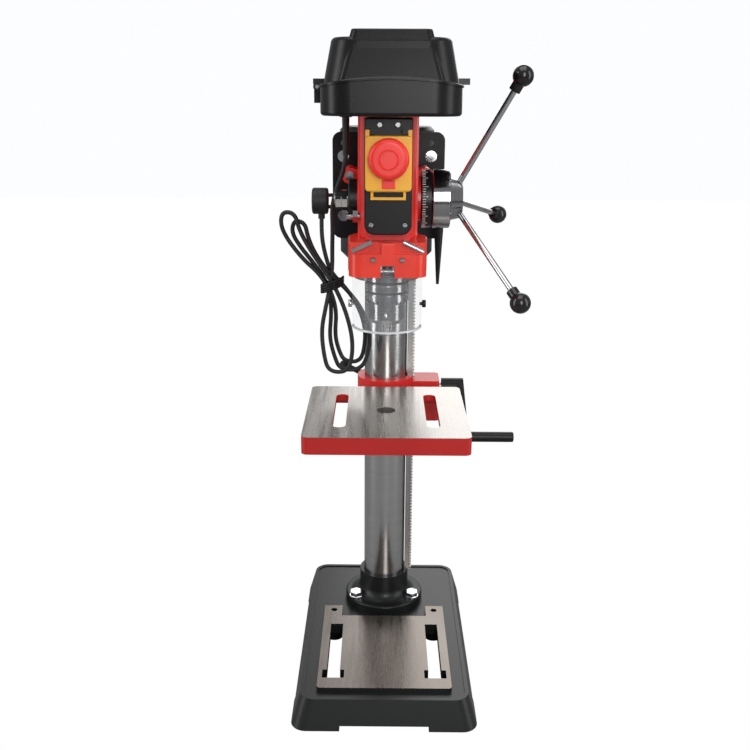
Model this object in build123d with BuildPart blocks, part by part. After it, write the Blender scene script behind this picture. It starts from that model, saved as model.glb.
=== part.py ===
from build123d import *
import math
import os

os.makedirs("parts", exist_ok=True)

# A small bench drill press. Millimetres, +Z up, and the work side faces -Y.
# The origin is on the bench, midway between the two bench bolt holes of the base.

# ------------------------------------------------------------------ driving sizes

# Running gaps between pieces
SHAFT_GAP = 0.06
FACE_GAP = 0.3
COVER_GAP = 0.5

# Column, and the spindle that it carries in front of it
COLUMN_Y = 54.0
COLUMN_RADIUS = 30.0
COLUMN_WALL = 4.0
COLUMN_TOP = 728.0
SPINDLE_REACH = 150.0
SPINDLE_Y = COLUMN_Y - SPINDLE_REACH

# Base casting
BASE_WIDTH = 240.0
BASE_DEPTH = 381.0
BASE_FRONT = -222.0
BASE_HEIGHT = 39.5
BASE_INSET = 11.0
BASE_CORNER = 20.0
BASE_PLATE = 12.0
BASE_SKIRT = 9.0
TRAY_DEPTH = 1.6
TRAY_BORDER = 5.0
FOOT_CUT_HEIGHT = 6.5
FOOT_LENGTH = 63.0
BASE_RIB = 6.0
BASE_RIB_X = 32.0
PAD_WIDTH = 175.0
PAD_FRONT = -192.0
PAD_BACK = -16.0
PAD_EAR_BACK = 12.0
PAD_EAR_WIDTH = 26.0
PAD_RISE = 4.0
PAD_CORNER = 5.0
BENCH_BOLT_SPACING = 147.0
BENCH_HOLE_RADIUS = 4.5
BENCH_BOSS_RADIUS = 13.0
BASE_SLOT_X = 67.5
BASE_SLOT_WIDTH = 17.5
BASE_SLOT_BACK = -39.0
BASE_SLOT_FRONT = -170.0
SLOT_FOOT_WIDTH = 29.0
SLOT_FOOT_DEPTH = 18.0

# Column holder and its three bolts
FLANGE_RADIUS = 57.7
FLANGE_THICKNESS = 12.0
COLLAR_RADIUS = 36.0
HOLDER_TOP = 86.5
HOLDER_FILLET = 14.0
HOLDER_BOLT_RADIUS = 5.0
HOLDER_BOLT_CIRCLE = 48.0
BOLT_HEAD_HEIGHT = 6.4
WASHER_RADIUS = 10.0
WASHER_THICKNESS = 2.0

# Rack on the column's right side
RACK_MODULE = 1.5
RACK_WIDTH = 16.0
RACK_INNER = 1.0
RACK_OUTER = 10.8
RACK_TOP = 541.0
RACK_COLLAR_RADIUS = 45.0
RACK_COLLAR_HEIGHT = 16.0
RACK_LIP = 7.0

# Table, its bracket and its lifting gear
TABLE_SIZE = 203.0
TABLE_TOP = 389.0
TABLE_SKIRT = 22.0
TABLE_PLATE = 9.0
TABLE_WALL = 7.0
TABLE_CORNER = 8.0
TABLE_HOLE_RADIUS = 12.0
TABLE_BOSS_RADIUS = 21.0
TABLE_SLOT_X = 58.0
TABLE_SLOT_WIDTH = 16.5
TABLE_SLOT_LENGTH = 131.0
TABLE_RIB = 6.0
TILT_Z = 345.0
TILT_RADIUS = 21.0
TILT_BOSS_DEPTH = 16.0
TILT_BOLT_RADIUS = 6.0
BRACKET_RADIUS = 40.0
BRACKET_TOP = 393.0
BRACKET_BOTTOM = 318.0
GEARBOX_RIGHT = 76.0
GEARBOX_HALF = 22.0
GEARBOX_BOTTOM = 330.0
CLAMP_EAR_HALF = 13.0
CLAMP_EAR_DEPTH = 22.0
CLAMP_SPLIT = 3.0
CLAMP_Z = 372.0
CLAMP_ROD_RADIUS = 5.0
LIFT_TEETH = 14
LIFT_GEAR_WIDTH = 14.0
LIFT_SHAFT_RADIUS = 4.0
CRANK_Z = 375.0
CRANK_SHAFT_RADIUS = 5.0
WORM_RADIUS = 6.0
WORM_DEPTH = 1.6
WORM_LENGTH = 20.0
CRANK_HUB_RADIUS = 12.0
CRANK_HUB_LEFT = 80.0
CRANK_HUB_RIGHT = 111.0
CRANK_REACH_Y = -100.0
CRANK_DROP_Z = -40.0
CRANK_ARM_THICKNESS = 8.0
CRANK_GRIP_RADIUS = 6.9
CRANK_GRIP_LENGTH = 58.0
CRANK_PIN_RADIUS = 4.0

# Head casting
HEAD_BOTTOM = 612.0
HEAD_TOP = 753.0
HEAD_HALF = 36.0
HEAD_CLAMP_RADIUS = 38.5
QUILL_BOSS_RADIUS = 33.5
HEAD_FRONT = -130.0
HEAD_WALL = 8.0
FEED_Z = 654.0
FEED_BOSS_RADIUS = 27.0
FEED_BOSS_RIGHT = 40.0
SPRING_BOSS_RADIUS = 26.0
ROD_X = 50.0
ROD_Z = 673.0
ROD_RADIUS = 6.0
ROD_LUG_RADIUS = 10.5
ROD_LUG_FRONT = 34.0
ROD_LUG_BACK = 84.0
LEVER_PIVOT_Y = 54.0
LEVER_PIVOT_Z = 628.0
LEVER_SHAFT_RADIUS = 5.0
LEVER_LUG_RADIUS = 11.0
LEVER_X = 71.0
LEVER_THICKNESS = 9.0
LEVER_TIP_Z = 524.0
LEVER_WIDTH = 19.0
LEVER_TIP_WIDTH = 4.0
LEVER_ROOT_WIDTH = 15.0

# Quill, spindle and their bearings
QUILL_RADIUS = 20.5
QUILL_BOTTOM = 583.0
QUILL_TOP = 722.0
QUILL_WALL = 4.0
PINION_MODULE = 2.0
PINION_TEETH = 12
BEARING_WIDTH = 12.0
SPINDLE_RADIUS = 8.5
SPINDLE_TOP_RADIUS = 7.0
SPINDLE_TOP = 829.0
SPINDLE_SHOULDER = 570.0
SPINDLE_NOSE_BOTTOM = 547.0
SPINDLE_NOSE_RADIUS = 7.0

# Chuck
CHUCK_TOP = 567.0
CHUCK_SLEEVE_BOTTOM = 531.0
CHUCK_BOTTOM = 506.0
CHUCK_SLEEVE_RADIUS = 26.5
CHUCK_CORE_RADIUS = 18.0
CHUCK_NECK_RADIUS = 22.0
CHUCK_NOSE_RADIUS = 19.0
CHUCK_KEY_TEETH = 28
KEY_HOLE_RADIUS = 3.2
KEY_HOLE_Z = 519.0
JAW_TIP = 489.0
JAW_LENGTH = 32.0
JAW_RADIUS = 3.5
JAW_OPENING = 3.4
JAW_SLANT = 10.0
JAW_BORE = 8.0

# Feed hub, spokes and knobs
PINION_SHAFT_RADIUS = 8.0
PINION_SHAFT_LEFT = -66.0
DEPTH_RING_RADIUS = 35.0
DEPTH_RING_LEFT = 41.0
DEPTH_RING_RIGHT = 53.0
FEED_HUB_RADIUS = 35.5
FEED_HUB_LEFT = 54.0
FEED_HUB_RIGHT = 76.0
FEED_NOSE_RADIUS = 26.0
FEED_NOSE_RIGHT = 91.0
SPOKE_RADIUS = 3.6
SPOKE_START_X = 86.0
SPOKE_START_RADIUS = 19.0
KNOB_X = 153.8
KNOB_CIRCLE = 150.0
KNOB_RADIUS = 12.3
KNOB_COLLAR_RADIUS = 7.0
KNOB_COLLAR_LENGTH = 7.0
SPOKE_FIRST_ANGLE = 74.0
SPOKE_COUNT = 3

# Return spring on the left
SPRING_CAP_RADIUS = 23.5
SPRING_CAP_LEFT = -48.0
SPRING_CAP_WALL = 2.0
SPRING_RADIUS = 20.0
SPRING_STRIP = 1.0
SPRING_PITCH = 2.6
CAP_NUT_FLATS = 20.0
CAP_NUT_THICKNESS = 7.0
GIB_SCREW_RADIUS = 4.0
GIB_Z = 636.0
GIB_LENGTH = 29.0
GIB_NUT_THICKNESS = 6.0

# Belt housing: the tub, its lid, two step pulleys and the belt
TUB_X = 2.5
TUB_HALF = 79.0
TUB_FRONT = -183.0
TUB_BACK = 256.0
TUB_BOTTOM = 754.0
TUB_CORNER = 34.0
TUB_WALL = 2.6
SEAM_CROWN = 792.0
SEAM_RADIUS = 400.0
LID_INSET = 1.6
LID_SHOULDER = 837.0
LID_TAPER = 11.0
LID_END_TAPER = 14.0
LID_TOP = 845.0
LID_WALL = 2.6
PANEL_HALF_TOP = 44.0
PANEL_HALF_RIM = 63.0
PANEL_FRONT_TAPER = 12.0
HINGE_OUT = 5.5
HINGE_Z = 785.0
HINGE_RADIUS = 4.5
HINGE_PIN_RADIUS = 2.0
HINGE_LENGTH = 14.0
HINGE_SPAN = (-96.0, 144.0)
LATCH_OUT = 12.0
MOTOR_Y = 178.0
STEP_COUNT = 5
STEP_HEIGHT = 11.6
PULLEY_BOTTOM = 771.0
PULLEY_SMALL = 25.0
PULLEY_STEP = 7.5
BELT_STEP = 2
BELT_WIDTH = 7.2
BELT_THICKNESS = 5.5
GROOVE_DEPTH = 6.4
GROOVE_MOUTH = 10.4
GROOVE_FLOOR = 6.6
SLEEVE_RADIUS = 12.0

# Motor, its sliding plate and rods
MOTOR_RADIUS = 68.5
MOTOR_BOTTOM = 537.0
MOTOR_TOP = 732.0
MOTOR_BEVEL = 14.0
MOTOR_WALL = 3.0
MOTOR_SHAFT_RADIUS = 7.0
ROTOR_RADIUS = 34.0
STATOR_RADIUS = 60.0
PLATE_LEFT = -76.0
PLATE_RIGHT = 80.0
PLATE_BOTTOM = 580.0
PLATE_TOP = 727.0
PLATE_FRONT = 102.0
PLATE_THICKNESS = 6.0
PLATE_CORNER = 12.0
PLATE_SLOT = 7.5
MOTOR_FOOT_X = 61.0
MOTOR_FOOT_Z = (612.0, 694.0)
MOTOR_FOOT_RADIUS = 9.0
MOTOR_TRAVEL = 8.0

# Switch box on the head's front
SWITCH_HALF = 27.5
SWITCH_BOTTOM = 621.0
SWITCH_TOP = 752.0
SWITCH_FRONT = -151.0
SWITCH_WALL = 2.5
SWITCH_ROUND = 12.0
FLAP_HALF = 26.2
FLAP_BOTTOM = 672.0
FLAP_TOP = 733.0
FLAP_DEPTH = 13.0
FLAP_WALL = 2.0
FLAP_HINGE_Z = 737.5
FLAP_LOOP_BOTTOM = 662.0
FLAP_LOOP_HALF = 20.0
MUSHROOM_RADIUS = 23.0
MUSHROOM_Z = 708.0
MUSHROOM_HEIGHT = 10.0
MUSHROOM_TRAVEL = 3.0
MUSHROOM_STEM = 9.0
BUTTON_WIDTH = 15.0
BUTTON_HEIGHT = 19.0
BUTTON_RISE = 5.0
START_Z = 690.0
STOP_Z = 714.0

# Chuck guard
GUARD_RADIUS = 48.0
GUARD_BOTTOM = 571.0
GUARD_WALL = 4.0
GUARD_TOP_WALL = 5.0
GUARD_FRONT = -151.0
GUARD_FRONT_HALF = 46.0
GUARD_CORNER = 16.0
GUARD_BRIDGE_HALF = 7.5
GUARD_POCKET_DEPTH = 6.0
GUARD_POCKET_BOTTOM = 598.0
GUARD_RECESS_HALF = 8.0
GUARD_RECESS_TOP = 585.0
SHIELD_RADIUS = 43.0
SHIELD_WALL = 2.4
SHIELD_BOTTOM = 500.0
SHIELD_HINGE_Y = -147.5
SHIELD_HINGE_Z = 578.0
SHIELD_PIN_RADIUS = 1.5
GUARD_LEVER_RADIUS = 2.75
GUARD_LEVER_LENGTH = 26.0
GUARD_LEVER_SLOPE = 25.0
GUARD_LEVER_X = 30.0
GUARD_LEVER_Z = 607.0

# Cords
CORD_RADIUS = 2.9
BOOT_X = -52.0
BOOT_Y = -46.0
BOOT_RADIUS = 4.6
BOOT_BOTTOM = 704.0
HANK_Y = -22.0
HANK_THICKNESS = 24.0

# ------------------------------------------------------------------ sizes that follow

BASE_BACK = BASE_FRONT + BASE_DEPTH
BASE_MIDDLE_Y = (BASE_FRONT + BASE_BACK) / 2
TRAY_FLOOR = BASE_HEIGHT - TRAY_DEPTH
PAD_TOP = BASE_HEIGHT + PAD_RISE
BASE_CAVITY_TOP = BASE_HEIGHT - BASE_PLATE
FLANGE_TOP = TRAY_FLOOR + FLANGE_THICKNESS
HOLDER_BOLT_ANGLES = (90, 210, 330)
RACK_PITCH = math.pi * RACK_MODULE
RACK_BOTTOM = HOLDER_TOP + FACE_GAP
RACK_FACE = COLUMN_RADIUS + RACK_OUTER
RACK_PITCH_X = RACK_FACE - RACK_MODULE
LIFT_RADIUS = RACK_MODULE * LIFT_TEETH / 2
LIFT_X = RACK_PITCH_X + LIFT_RADIUS
LIFT_TIP = LIFT_RADIUS + RACK_MODULE
LIFT_Z = CRANK_Z - WORM_RADIUS - FACE_GAP - LIFT_TIP
TABLE_HALF = TABLE_SIZE / 2
TABLE_BACK = SPINDLE_Y + TABLE_HALF
TABLE_UNDER = TABLE_TOP - TABLE_PLATE
TABLE_SKIRT_BOTTOM = TABLE_TOP - TABLE_SKIRT
QUILL_RACK_DEPTH = 18.0
PINION_RADIUS = PINION_MODULE * PINION_TEETH / 2
PINION_Y = SPINDLE_Y + QUILL_RACK_DEPTH + PINION_RADIUS
HUB_BOSS_LEFT = -HEAD_HALF
TUB_MIDDLE_Y = (TUB_FRONT + TUB_BACK) / 2
TUB_DEPTH = TUB_BACK - TUB_FRONT
GUARD_TOP = HEAD_BOTTOM - FACE_GAP
SHIELD_PIN = (SHIELD_HINGE_Y, SHIELD_HINGE_Z)


# ------------------------------------------------------------------ shared shapes

def block(x0, x1, y0, y1, z0, z1, mode=Mode.ADD):
    """A box between two corners, in the open block's part."""
    with Locations((x0, y0, z0)):
        Box(x1 - x0, y1 - y0, z1 - z0, align=(Align.MIN, Align.MIN, Align.MIN), mode=mode)


def rod_z(x, y, z0, z1, radius, mode=Mode.ADD):
    """An upright cylinder."""
    with Locations((x, y, z0)):
        Cylinder(radius, z1 - z0, align=(Align.CENTER, Align.CENTER, Align.MIN), mode=mode)


def rod_x(x0, x1, y, z, radius, mode=Mode.ADD):
    """A cylinder along X."""
    with Locations(Location((x0, y, z), (0, 90, 0))):
        Cylinder(radius, x1 - x0, align=(Align.CENTER, Align.CENTER, Align.MIN), mode=mode)


def rod_y(x, y0, y1, z, radius, mode=Mode.ADD):
    """A cylinder along Y."""
    with Locations(Location((x, y0, z), (-90, 0, 0))):
        Cylinder(radius, y1 - y0, align=(Align.CENTER, Align.CENTER, Align.MIN), mode=mode)


def rounded(width, depth, corner, x, y, z):
    """A rounded rectangle on a level plane, for lofts and extrusions."""
    with BuildSketch(Plane((x, y, z))) as outline:
        RectangleRounded(width, depth, corner)
    return outline.sketch


def gear_outline(teeth, module, backlash):
    """A spur gear with 20 degree involute flanks, one tooth centred on local +X."""
    pitch = module * teeth / 2
    base = pitch * math.cos(math.radians(20))
    root = pitch - 1.25 * module
    tip = pitch + 0.9 * module
    half_at_pitch = math.pi / (2 * teeth) - backlash / pitch
    spread = math.tan(math.radians(20)) - math.radians(20)
    flank = []
    for step in range(5):
        radius = base + (tip - base) * step / 4
        unwind = math.sqrt(max((radius / base) ** 2 - 1, 0))
        flank.append((radius, half_at_pitch + spread - (unwind - math.atan(unwind))))
    points = []
    for tooth in range(teeth):
        middle = tooth * 2 * math.pi / teeth
        points.append((root, middle - flank[0][1]))
        points += [(radius, middle - half) for radius, half in flank]
        points += [(radius, middle + half) for radius, half in reversed(flank)]
        points.append((root, middle + flank[0][1]))
    with BuildSketch() as outline:
        with BuildLine():
            Polyline(*[(r * math.cos(a), r * math.sin(a)) for r, a in points], close=True)
        make_face()
    return outline.sketch


def hex_screw(radius, length, flats, head, washer):
    """A hex screw, its head above the origin and its shank below; washer adds a flange."""
    with BuildPart() as screw:
        Cylinder(radius, length, align=(Align.CENTER, Align.CENTER, Align.MAX))
        with BuildSketch(Plane.XY.offset(washer)):
            RegularPolygon(flats / 2, 6, major_radius=False)
        extrude(amount=head)
        if washer > 0:
            Cylinder(flats * 0.6, washer, align=(Align.CENTER, Align.CENTER, Align.MIN))
    return screw.part


def pan_screw(radius, length, head_radius, head):
    """A cross-head screw with a low round head above the origin."""
    with BuildPart() as screw:
        Cylinder(radius, length, align=(Align.CENTER, Align.CENTER, Align.MAX))
        with BuildSketch():
            Circle(head_radius)
        extrude(amount=head, taper=20)
        block(-head_radius, head_radius, -head / 6, head / 6, head * 0.6, head, Mode.SUBTRACT)
    return screw.part


# ------------------------------------------------------------------ base and column

# A hollow iron casting on four corner feet, with a ground pad, two T-shaped slots and
# two bench bolt holes in bosses that reach the bench.
base_foot = rounded(BASE_WIDTH, BASE_DEPTH, BASE_CORNER, 0, BASE_MIDDLE_Y, 0)
base_crown = rounded(
    BASE_WIDTH - 2 * BASE_INSET, BASE_DEPTH - 2 * BASE_INSET, BASE_CORNER,
    0, BASE_MIDDLE_Y, BASE_HEIGHT,
)
tray = rounded(
    BASE_WIDTH - 2 * (BASE_INSET + TRAY_BORDER), BASE_DEPTH - 2 * (BASE_INSET + TRAY_BORDER),
    BASE_CORNER - TRAY_BORDER, 0, BASE_MIDDLE_Y, TRAY_FLOOR,
)
cavity_foot = rounded(
    BASE_WIDTH - 2 * BASE_SKIRT, BASE_DEPTH - 2 * BASE_SKIRT, BASE_CORNER - BASE_SKIRT / 2,
    0, BASE_MIDDLE_Y, 0,
)
cavity_crown = rounded(
    BASE_WIDTH - 2 * (BASE_SKIRT + BASE_INSET), BASE_DEPTH - 2 * (BASE_SKIRT + BASE_INSET),
    BASE_CORNER - BASE_SKIRT / 2, 0, BASE_MIDDLE_Y, BASE_CAVITY_TOP,
)
pad_ear_x = (PAD_WIDTH - PAD_EAR_WIDTH) / 2
slot_narrow_length = BASE_SLOT_BACK - BASE_SLOT_FRONT
with BuildPart() as base_casting:
    loft([base_foot.face(), base_crown.face()])
    extrude(tray, amount=TRAY_DEPTH, mode=Mode.SUBTRACT)
    loft([cavity_foot.face(), cavity_crown.face()], mode=Mode.SUBTRACT)
    for side in (-1, 1):
        rib_x = side * BASE_RIB_X
        block(
            rib_x - BASE_RIB / 2, rib_x + BASE_RIB / 2, BASE_FRONT + BASE_SKIRT, BASE_BACK - BASE_SKIRT,
            FOOT_CUT_HEIGHT, BASE_CAVITY_TOP,
        )
    with BuildSketch(Plane.XY.offset(BASE_CAVITY_TOP)):
        with Locations((0, (PAD_FRONT + PAD_BACK) / 2)):
            RectangleRounded(PAD_WIDTH, PAD_BACK - PAD_FRONT, PAD_CORNER)
        with Locations((-pad_ear_x, 0), (pad_ear_x, 0)):
            with Locations((0, PAD_EAR_BACK)):
                Rectangle(PAD_EAR_WIDTH, 2 * (PAD_EAR_BACK - PAD_BACK), align=(Align.CENTER, Align.MAX))
    extrude(amount=PAD_TOP - BASE_CAVITY_TOP)
    for side in (-1, 1):
        rod_z(side * BENCH_BOLT_SPACING / 2, 0, 0, BASE_HEIGHT, BENCH_BOSS_RADIUS)
    with Locations((0, COLUMN_Y, FOOT_CUT_HEIGHT)):
        with PolarLocations(HOLDER_BOLT_CIRCLE, 3, start_angle=HOLDER_BOLT_ANGLES[0]):
            Cylinder(
                HOLDER_BOLT_RADIUS * 2, TRAY_FLOOR - FOOT_CUT_HEIGHT,
                align=(Align.CENTER, Align.CENTER, Align.MIN),
            )
            Cylinder(
                HOLDER_BOLT_RADIUS, TRAY_FLOOR, align=(Align.CENTER, Align.CENTER, Align.MIN),
                mode=Mode.SUBTRACT,
            )
    with BuildSketch(Plane.XY):
        for side in (-1, 1):
            with Locations((side * BASE_SLOT_X, BASE_SLOT_FRONT)):
                Rectangle(BASE_SLOT_WIDTH, slot_narrow_length, align=(Align.CENTER, Align.MIN))
                Rectangle(SLOT_FOOT_WIDTH, SLOT_FOOT_DEPTH, align=(Align.CENTER, Align.MIN))
    extrude(amount=PAD_TOP, mode=Mode.SUBTRACT)
    for side in (-1, 1):
        rod_z(side * BENCH_BOLT_SPACING / 2, 0, 0, PAD_TOP, BENCH_HOLE_RADIUS, Mode.SUBTRACT)
    foot_gap = BASE_WIDTH / 2 - FOOT_LENGTH
    block(-foot_gap, foot_gap, BASE_FRONT, BASE_BACK, 0, FOOT_CUT_HEIGHT, Mode.SUBTRACT)
    for side in (-1, 1):
        skirt_x = sorted((side * BASE_WIDTH / 2, side * (BASE_WIDTH / 2 - 2 * BASE_SKIRT)))
        block(
            skirt_x[0], skirt_x[1], BASE_FRONT + FOOT_LENGTH, BASE_BACK - FOOT_LENGTH,
            0, FOOT_CUT_HEIGHT, Mode.SUBTRACT,
        )
base_casting.part.label = "base_casting"
export_step(base_casting.part, "parts/base_casting.step")

# Flanged socket that holds the column.
holder_bore = COLUMN_RADIUS + SHAFT_GAP
with BuildPart() as column_holder:
    with BuildSketch(Plane.XZ.offset(-COLUMN_Y)) as holder_profile:
        with BuildLine():
            Polyline(
                (holder_bore, TRAY_FLOOR), (FLANGE_RADIUS, TRAY_FLOOR), (FLANGE_RADIUS, FLANGE_TOP),
                (COLLAR_RADIUS, FLANGE_TOP), (COLLAR_RADIUS, HOLDER_TOP), (holder_bore, HOLDER_TOP),
                close=True,
            )
        make_face()
        waist = holder_profile.vertices().sort_by_distance((COLLAR_RADIUS, FLANGE_TOP))[0]
        fillet(waist, HOLDER_FILLET)
        brim = holder_profile.vertices().sort_by_distance((FLANGE_RADIUS, FLANGE_TOP))[0]
        fillet(brim, 2.5)
    revolve(axis=Axis((0, COLUMN_Y, 0), (0, 0, 1)))
    with Locations((0, COLUMN_Y, TRAY_FLOOR)):
        with PolarLocations(HOLDER_BOLT_CIRCLE, 3, start_angle=HOLDER_BOLT_ANGLES[0]):
            Cylinder(
                HOLDER_BOLT_RADIUS + FACE_GAP, FLANGE_THICKNESS * 3,
                align=(Align.CENTER, Align.CENTER, Align.MIN), mode=Mode.SUBTRACT,
            )
            with Locations((0, 0, FLANGE_THICKNESS)):
                Cylinder(
                    WASHER_RADIUS + FACE_GAP, FLANGE_THICKNESS * 3,
                    align=(Align.CENTER, Align.CENTER, Align.MIN), mode=Mode.SUBTRACT,
                )
column_holder.part.label = "column_holder"
export_step(column_holder.part, "parts/column_holder.step")

# Three hex bolts with washers.
holder_bolt = hex_screw(
    HOLDER_BOLT_RADIUS, FLANGE_THICKNESS * 2, WASHER_RADIUS / 0.6, BOLT_HEAD_HEIGHT, WASHER_THICKNESS,
)
with BuildPart() as holder_bolts:
    with Locations((0, COLUMN_Y, FLANGE_TOP)):
        with PolarLocations(HOLDER_BOLT_CIRCLE, 3, start_angle=HOLDER_BOLT_ANGLES[0]):
            add(holder_bolt)
holder_bolts.part.label = "holder_bolts"
export_step(holder_bolts.part, "parts/holder_bolts.step")

# Steel tube column.
with BuildPart() as column:
    rod_z(0, COLUMN_Y, TRAY_FLOOR, COLUMN_TOP, COLUMN_RADIUS)
    rod_z(0, COLUMN_Y, TRAY_FLOOR, COLUMN_TOP, COLUMN_RADIUS - COLUMN_WALL, Mode.SUBTRACT)
    chamfer(column.edges().group_by(Axis.Z)[-1].sort_by(SortBy.LENGTH)[-1], 1.0)
column.part.label = "column"
export_step(column.part, "parts/column.step")

# Rack that the table climbs. Its gaps line up with the lifting gear's teeth.
rack_left = COLUMN_RADIUS + RACK_INNER
rack_count_up = int((RACK_TOP - LIFT_Z) / RACK_PITCH) - 1
rack_count_down = int((LIFT_Z - RACK_BOTTOM) / RACK_PITCH) - 1
rack_depth = 2.2 * RACK_MODULE
rack_slope = rack_depth * math.tan(math.radians(20))
rack_mouth = RACK_PITCH / 2 + 2 * RACK_MODULE * math.tan(math.radians(20)) + 0.2
with BuildPart() as table_rack:
    block(
        rack_left, RACK_FACE, COLUMN_Y - RACK_WIDTH / 2, COLUMN_Y + RACK_WIDTH / 2,
        RACK_BOTTOM, RACK_TOP,
    )
    with BuildSketch(Plane.XZ.offset(-COLUMN_Y + RACK_WIDTH / 2)):
        rack_gaps = range(-rack_count_down, rack_count_up)
        with Locations(*[(RACK_FACE, LIFT_Z + n * RACK_PITCH) for n in rack_gaps]):
            Polygon(
                (0, rack_mouth / 2), (-rack_depth, rack_mouth / 2 - rack_slope),
                (-rack_depth, rack_slope - rack_mouth / 2), (0, -rack_mouth / 2), align=None,
            )
    extrude(amount=-RACK_WIDTH, mode=Mode.SUBTRACT)
table_rack.part.label = "table_rack"
export_step(table_rack.part, "parts/table_rack.step")

# Collar that keeps the rack's upper end against the column.
with BuildPart() as rack_collar:
    collar_top = RACK_TOP + FACE_GAP + RACK_COLLAR_HEIGHT - RACK_LIP
    rod_z(0, COLUMN_Y, RACK_TOP - RACK_LIP, collar_top, RACK_COLLAR_RADIUS)
    rack_reach = math.hypot(RACK_FACE, RACK_WIDTH / 2) + FACE_GAP
    rod_z(0, COLUMN_Y, RACK_TOP - RACK_LIP, RACK_TOP + FACE_GAP, rack_reach, Mode.SUBTRACT)
    rod_z(0, COLUMN_Y, RACK_TOP, collar_top, COLUMN_RADIUS, Mode.SUBTRACT)
rack_collar.part.label = "rack_collar"
export_step(rack_collar.part, "parts/rack_collar.step")

# ------------------------------------------------------------------ table group

# Bracket: a collar that slides on the column, a gearbox at its right, a tilt face in
# front and a split clamp behind.
bracket_front = TABLE_BACK + FACE_GAP
gearbox_left = COLUMN_RADIUS / 2
rack_channel = RACK_WIDTH / 2 + FACE_GAP
gear_room = LIFT_TIP + FACE_GAP * 3
with BuildPart() as table_bracket:
    rod_z(0, COLUMN_Y, BRACKET_BOTTOM, BRACKET_TOP, BRACKET_RADIUS)
    block(
        gearbox_left, GEARBOX_RIGHT, COLUMN_Y - GEARBOX_HALF, COLUMN_Y + GEARBOX_HALF,
        GEARBOX_BOTTOM, BRACKET_TOP - 4,
    )
    rod_y(0, bracket_front, COLUMN_Y, TILT_Z, TILT_RADIUS)
    block(
        -CLAMP_EAR_HALF, CLAMP_EAR_HALF, COLUMN_Y, COLUMN_Y + BRACKET_RADIUS + CLAMP_EAR_DEPTH,
        CLAMP_Z - 14, BRACKET_TOP,
    )
    fillet(table_bracket.edges().filter_by(Axis.Z).group_by(Axis.X)[-1], 5.0)
    rod_z(0, COLUMN_Y, BRACKET_BOTTOM, BRACKET_TOP, COLUMN_RADIUS + SHAFT_GAP, Mode.SUBTRACT)
    block(
        0, RACK_FACE + FACE_GAP, COLUMN_Y - rack_channel, COLUMN_Y + rack_channel,
        BRACKET_BOTTOM, BRACKET_TOP, Mode.SUBTRACT,
    )
    block(
        -CLAMP_SPLIT / 2, CLAMP_SPLIT / 2, COLUMN_Y, COLUMN_Y + BRACKET_RADIUS + CLAMP_EAR_DEPTH,
        BRACKET_BOTTOM, BRACKET_TOP, Mode.SUBTRACT,
    )
    block(
        RACK_FACE, LIFT_X + gear_room, COLUMN_Y - rack_channel, COLUMN_Y + rack_channel,
        LIFT_Z - gear_room, LIFT_Z + gear_room, Mode.SUBTRACT,
    )
    rod_x(RACK_FACE, LIFT_X + gear_room, COLUMN_Y, CRANK_Z, WORM_RADIUS + FACE_GAP, Mode.SUBTRACT)
    rod_x(RACK_FACE, GEARBOX_RIGHT, COLUMN_Y, CRANK_Z, CRANK_SHAFT_RADIUS + SHAFT_GAP, Mode.SUBTRACT)
    rod_y(
        LIFT_X, COLUMN_Y - GEARBOX_HALF, COLUMN_Y + GEARBOX_HALF, LIFT_Z,
        LIFT_SHAFT_RADIUS + SHAFT_GAP, Mode.SUBTRACT,
    )
    clamp_y = COLUMN_Y + BRACKET_RADIUS + CLAMP_EAR_DEPTH / 2
    rod_x(-CLAMP_EAR_HALF, CLAMP_EAR_HALF, clamp_y, CLAMP_Z, CLAMP_ROD_RADIUS + SHAFT_GAP, Mode.SUBTRACT)
    rod_y(0, bracket_front, COLUMN_Y - COLUMN_RADIUS, TILT_Z, TILT_BOLT_RADIUS, Mode.SUBTRACT)
table_bracket.part.label = "table_bracket"
export_step(table_bracket.part, "parts/table_bracket.step")

# Spur gear on its own shaft, between the worm above it and the rack at its left.
lift_outline = gear_outline(LIFT_TEETH, RACK_MODULE, 0.12)
with BuildPart() as lift_gear:
    with BuildSketch(Plane.XZ.offset(-COLUMN_Y - LIFT_GEAR_WIDTH / 2)):
        with Locations(Location((LIFT_X, LIFT_Z), 180)):
            add(lift_outline)
    extrude(amount=LIFT_GEAR_WIDTH)
    rod_y(LIFT_X, COLUMN_Y - GEARBOX_HALF, COLUMN_Y + GEARBOX_HALF, LIFT_Z, LIFT_SHAFT_RADIUS)
lift_gear.part.label = "lift_gear"
export_step(lift_gear.part, "parts/lift_gear.step")

# Worm shaft. Its threads are rings cut at the rack's pitch.
worm_left = LIFT_X - WORM_LENGTH / 2 + 1
with BuildPart() as worm_shaft:
    rod_x(worm_left, worm_left + WORM_LENGTH, COLUMN_Y, CRANK_Z, WORM_RADIUS)
    with BuildSketch(Plane.XZ.offset(-COLUMN_Y)):
        for turn in range(int(WORM_LENGTH / RACK_PITCH)):
            with Locations((worm_left + (turn + 0.5) * RACK_PITCH, CRANK_Z + WORM_RADIUS)):
                Rectangle(RACK_PITCH / 2, 2 * WORM_DEPTH)
    revolve(axis=Axis((0, COLUMN_Y, CRANK_Z), (1, 0, 0)), mode=Mode.SUBTRACT)
    rod_x(worm_left, CRANK_HUB_RIGHT, COLUMN_Y, CRANK_Z, WORM_RADIUS - WORM_DEPTH)
    rod_x(LIFT_X + gear_room, CRANK_HUB_RIGHT, COLUMN_Y, CRANK_Z, CRANK_SHAFT_RADIUS)
worm_shaft.part.label = "worm_shaft"
export_step(worm_shaft.part, "parts/worm_shaft.step")

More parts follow.
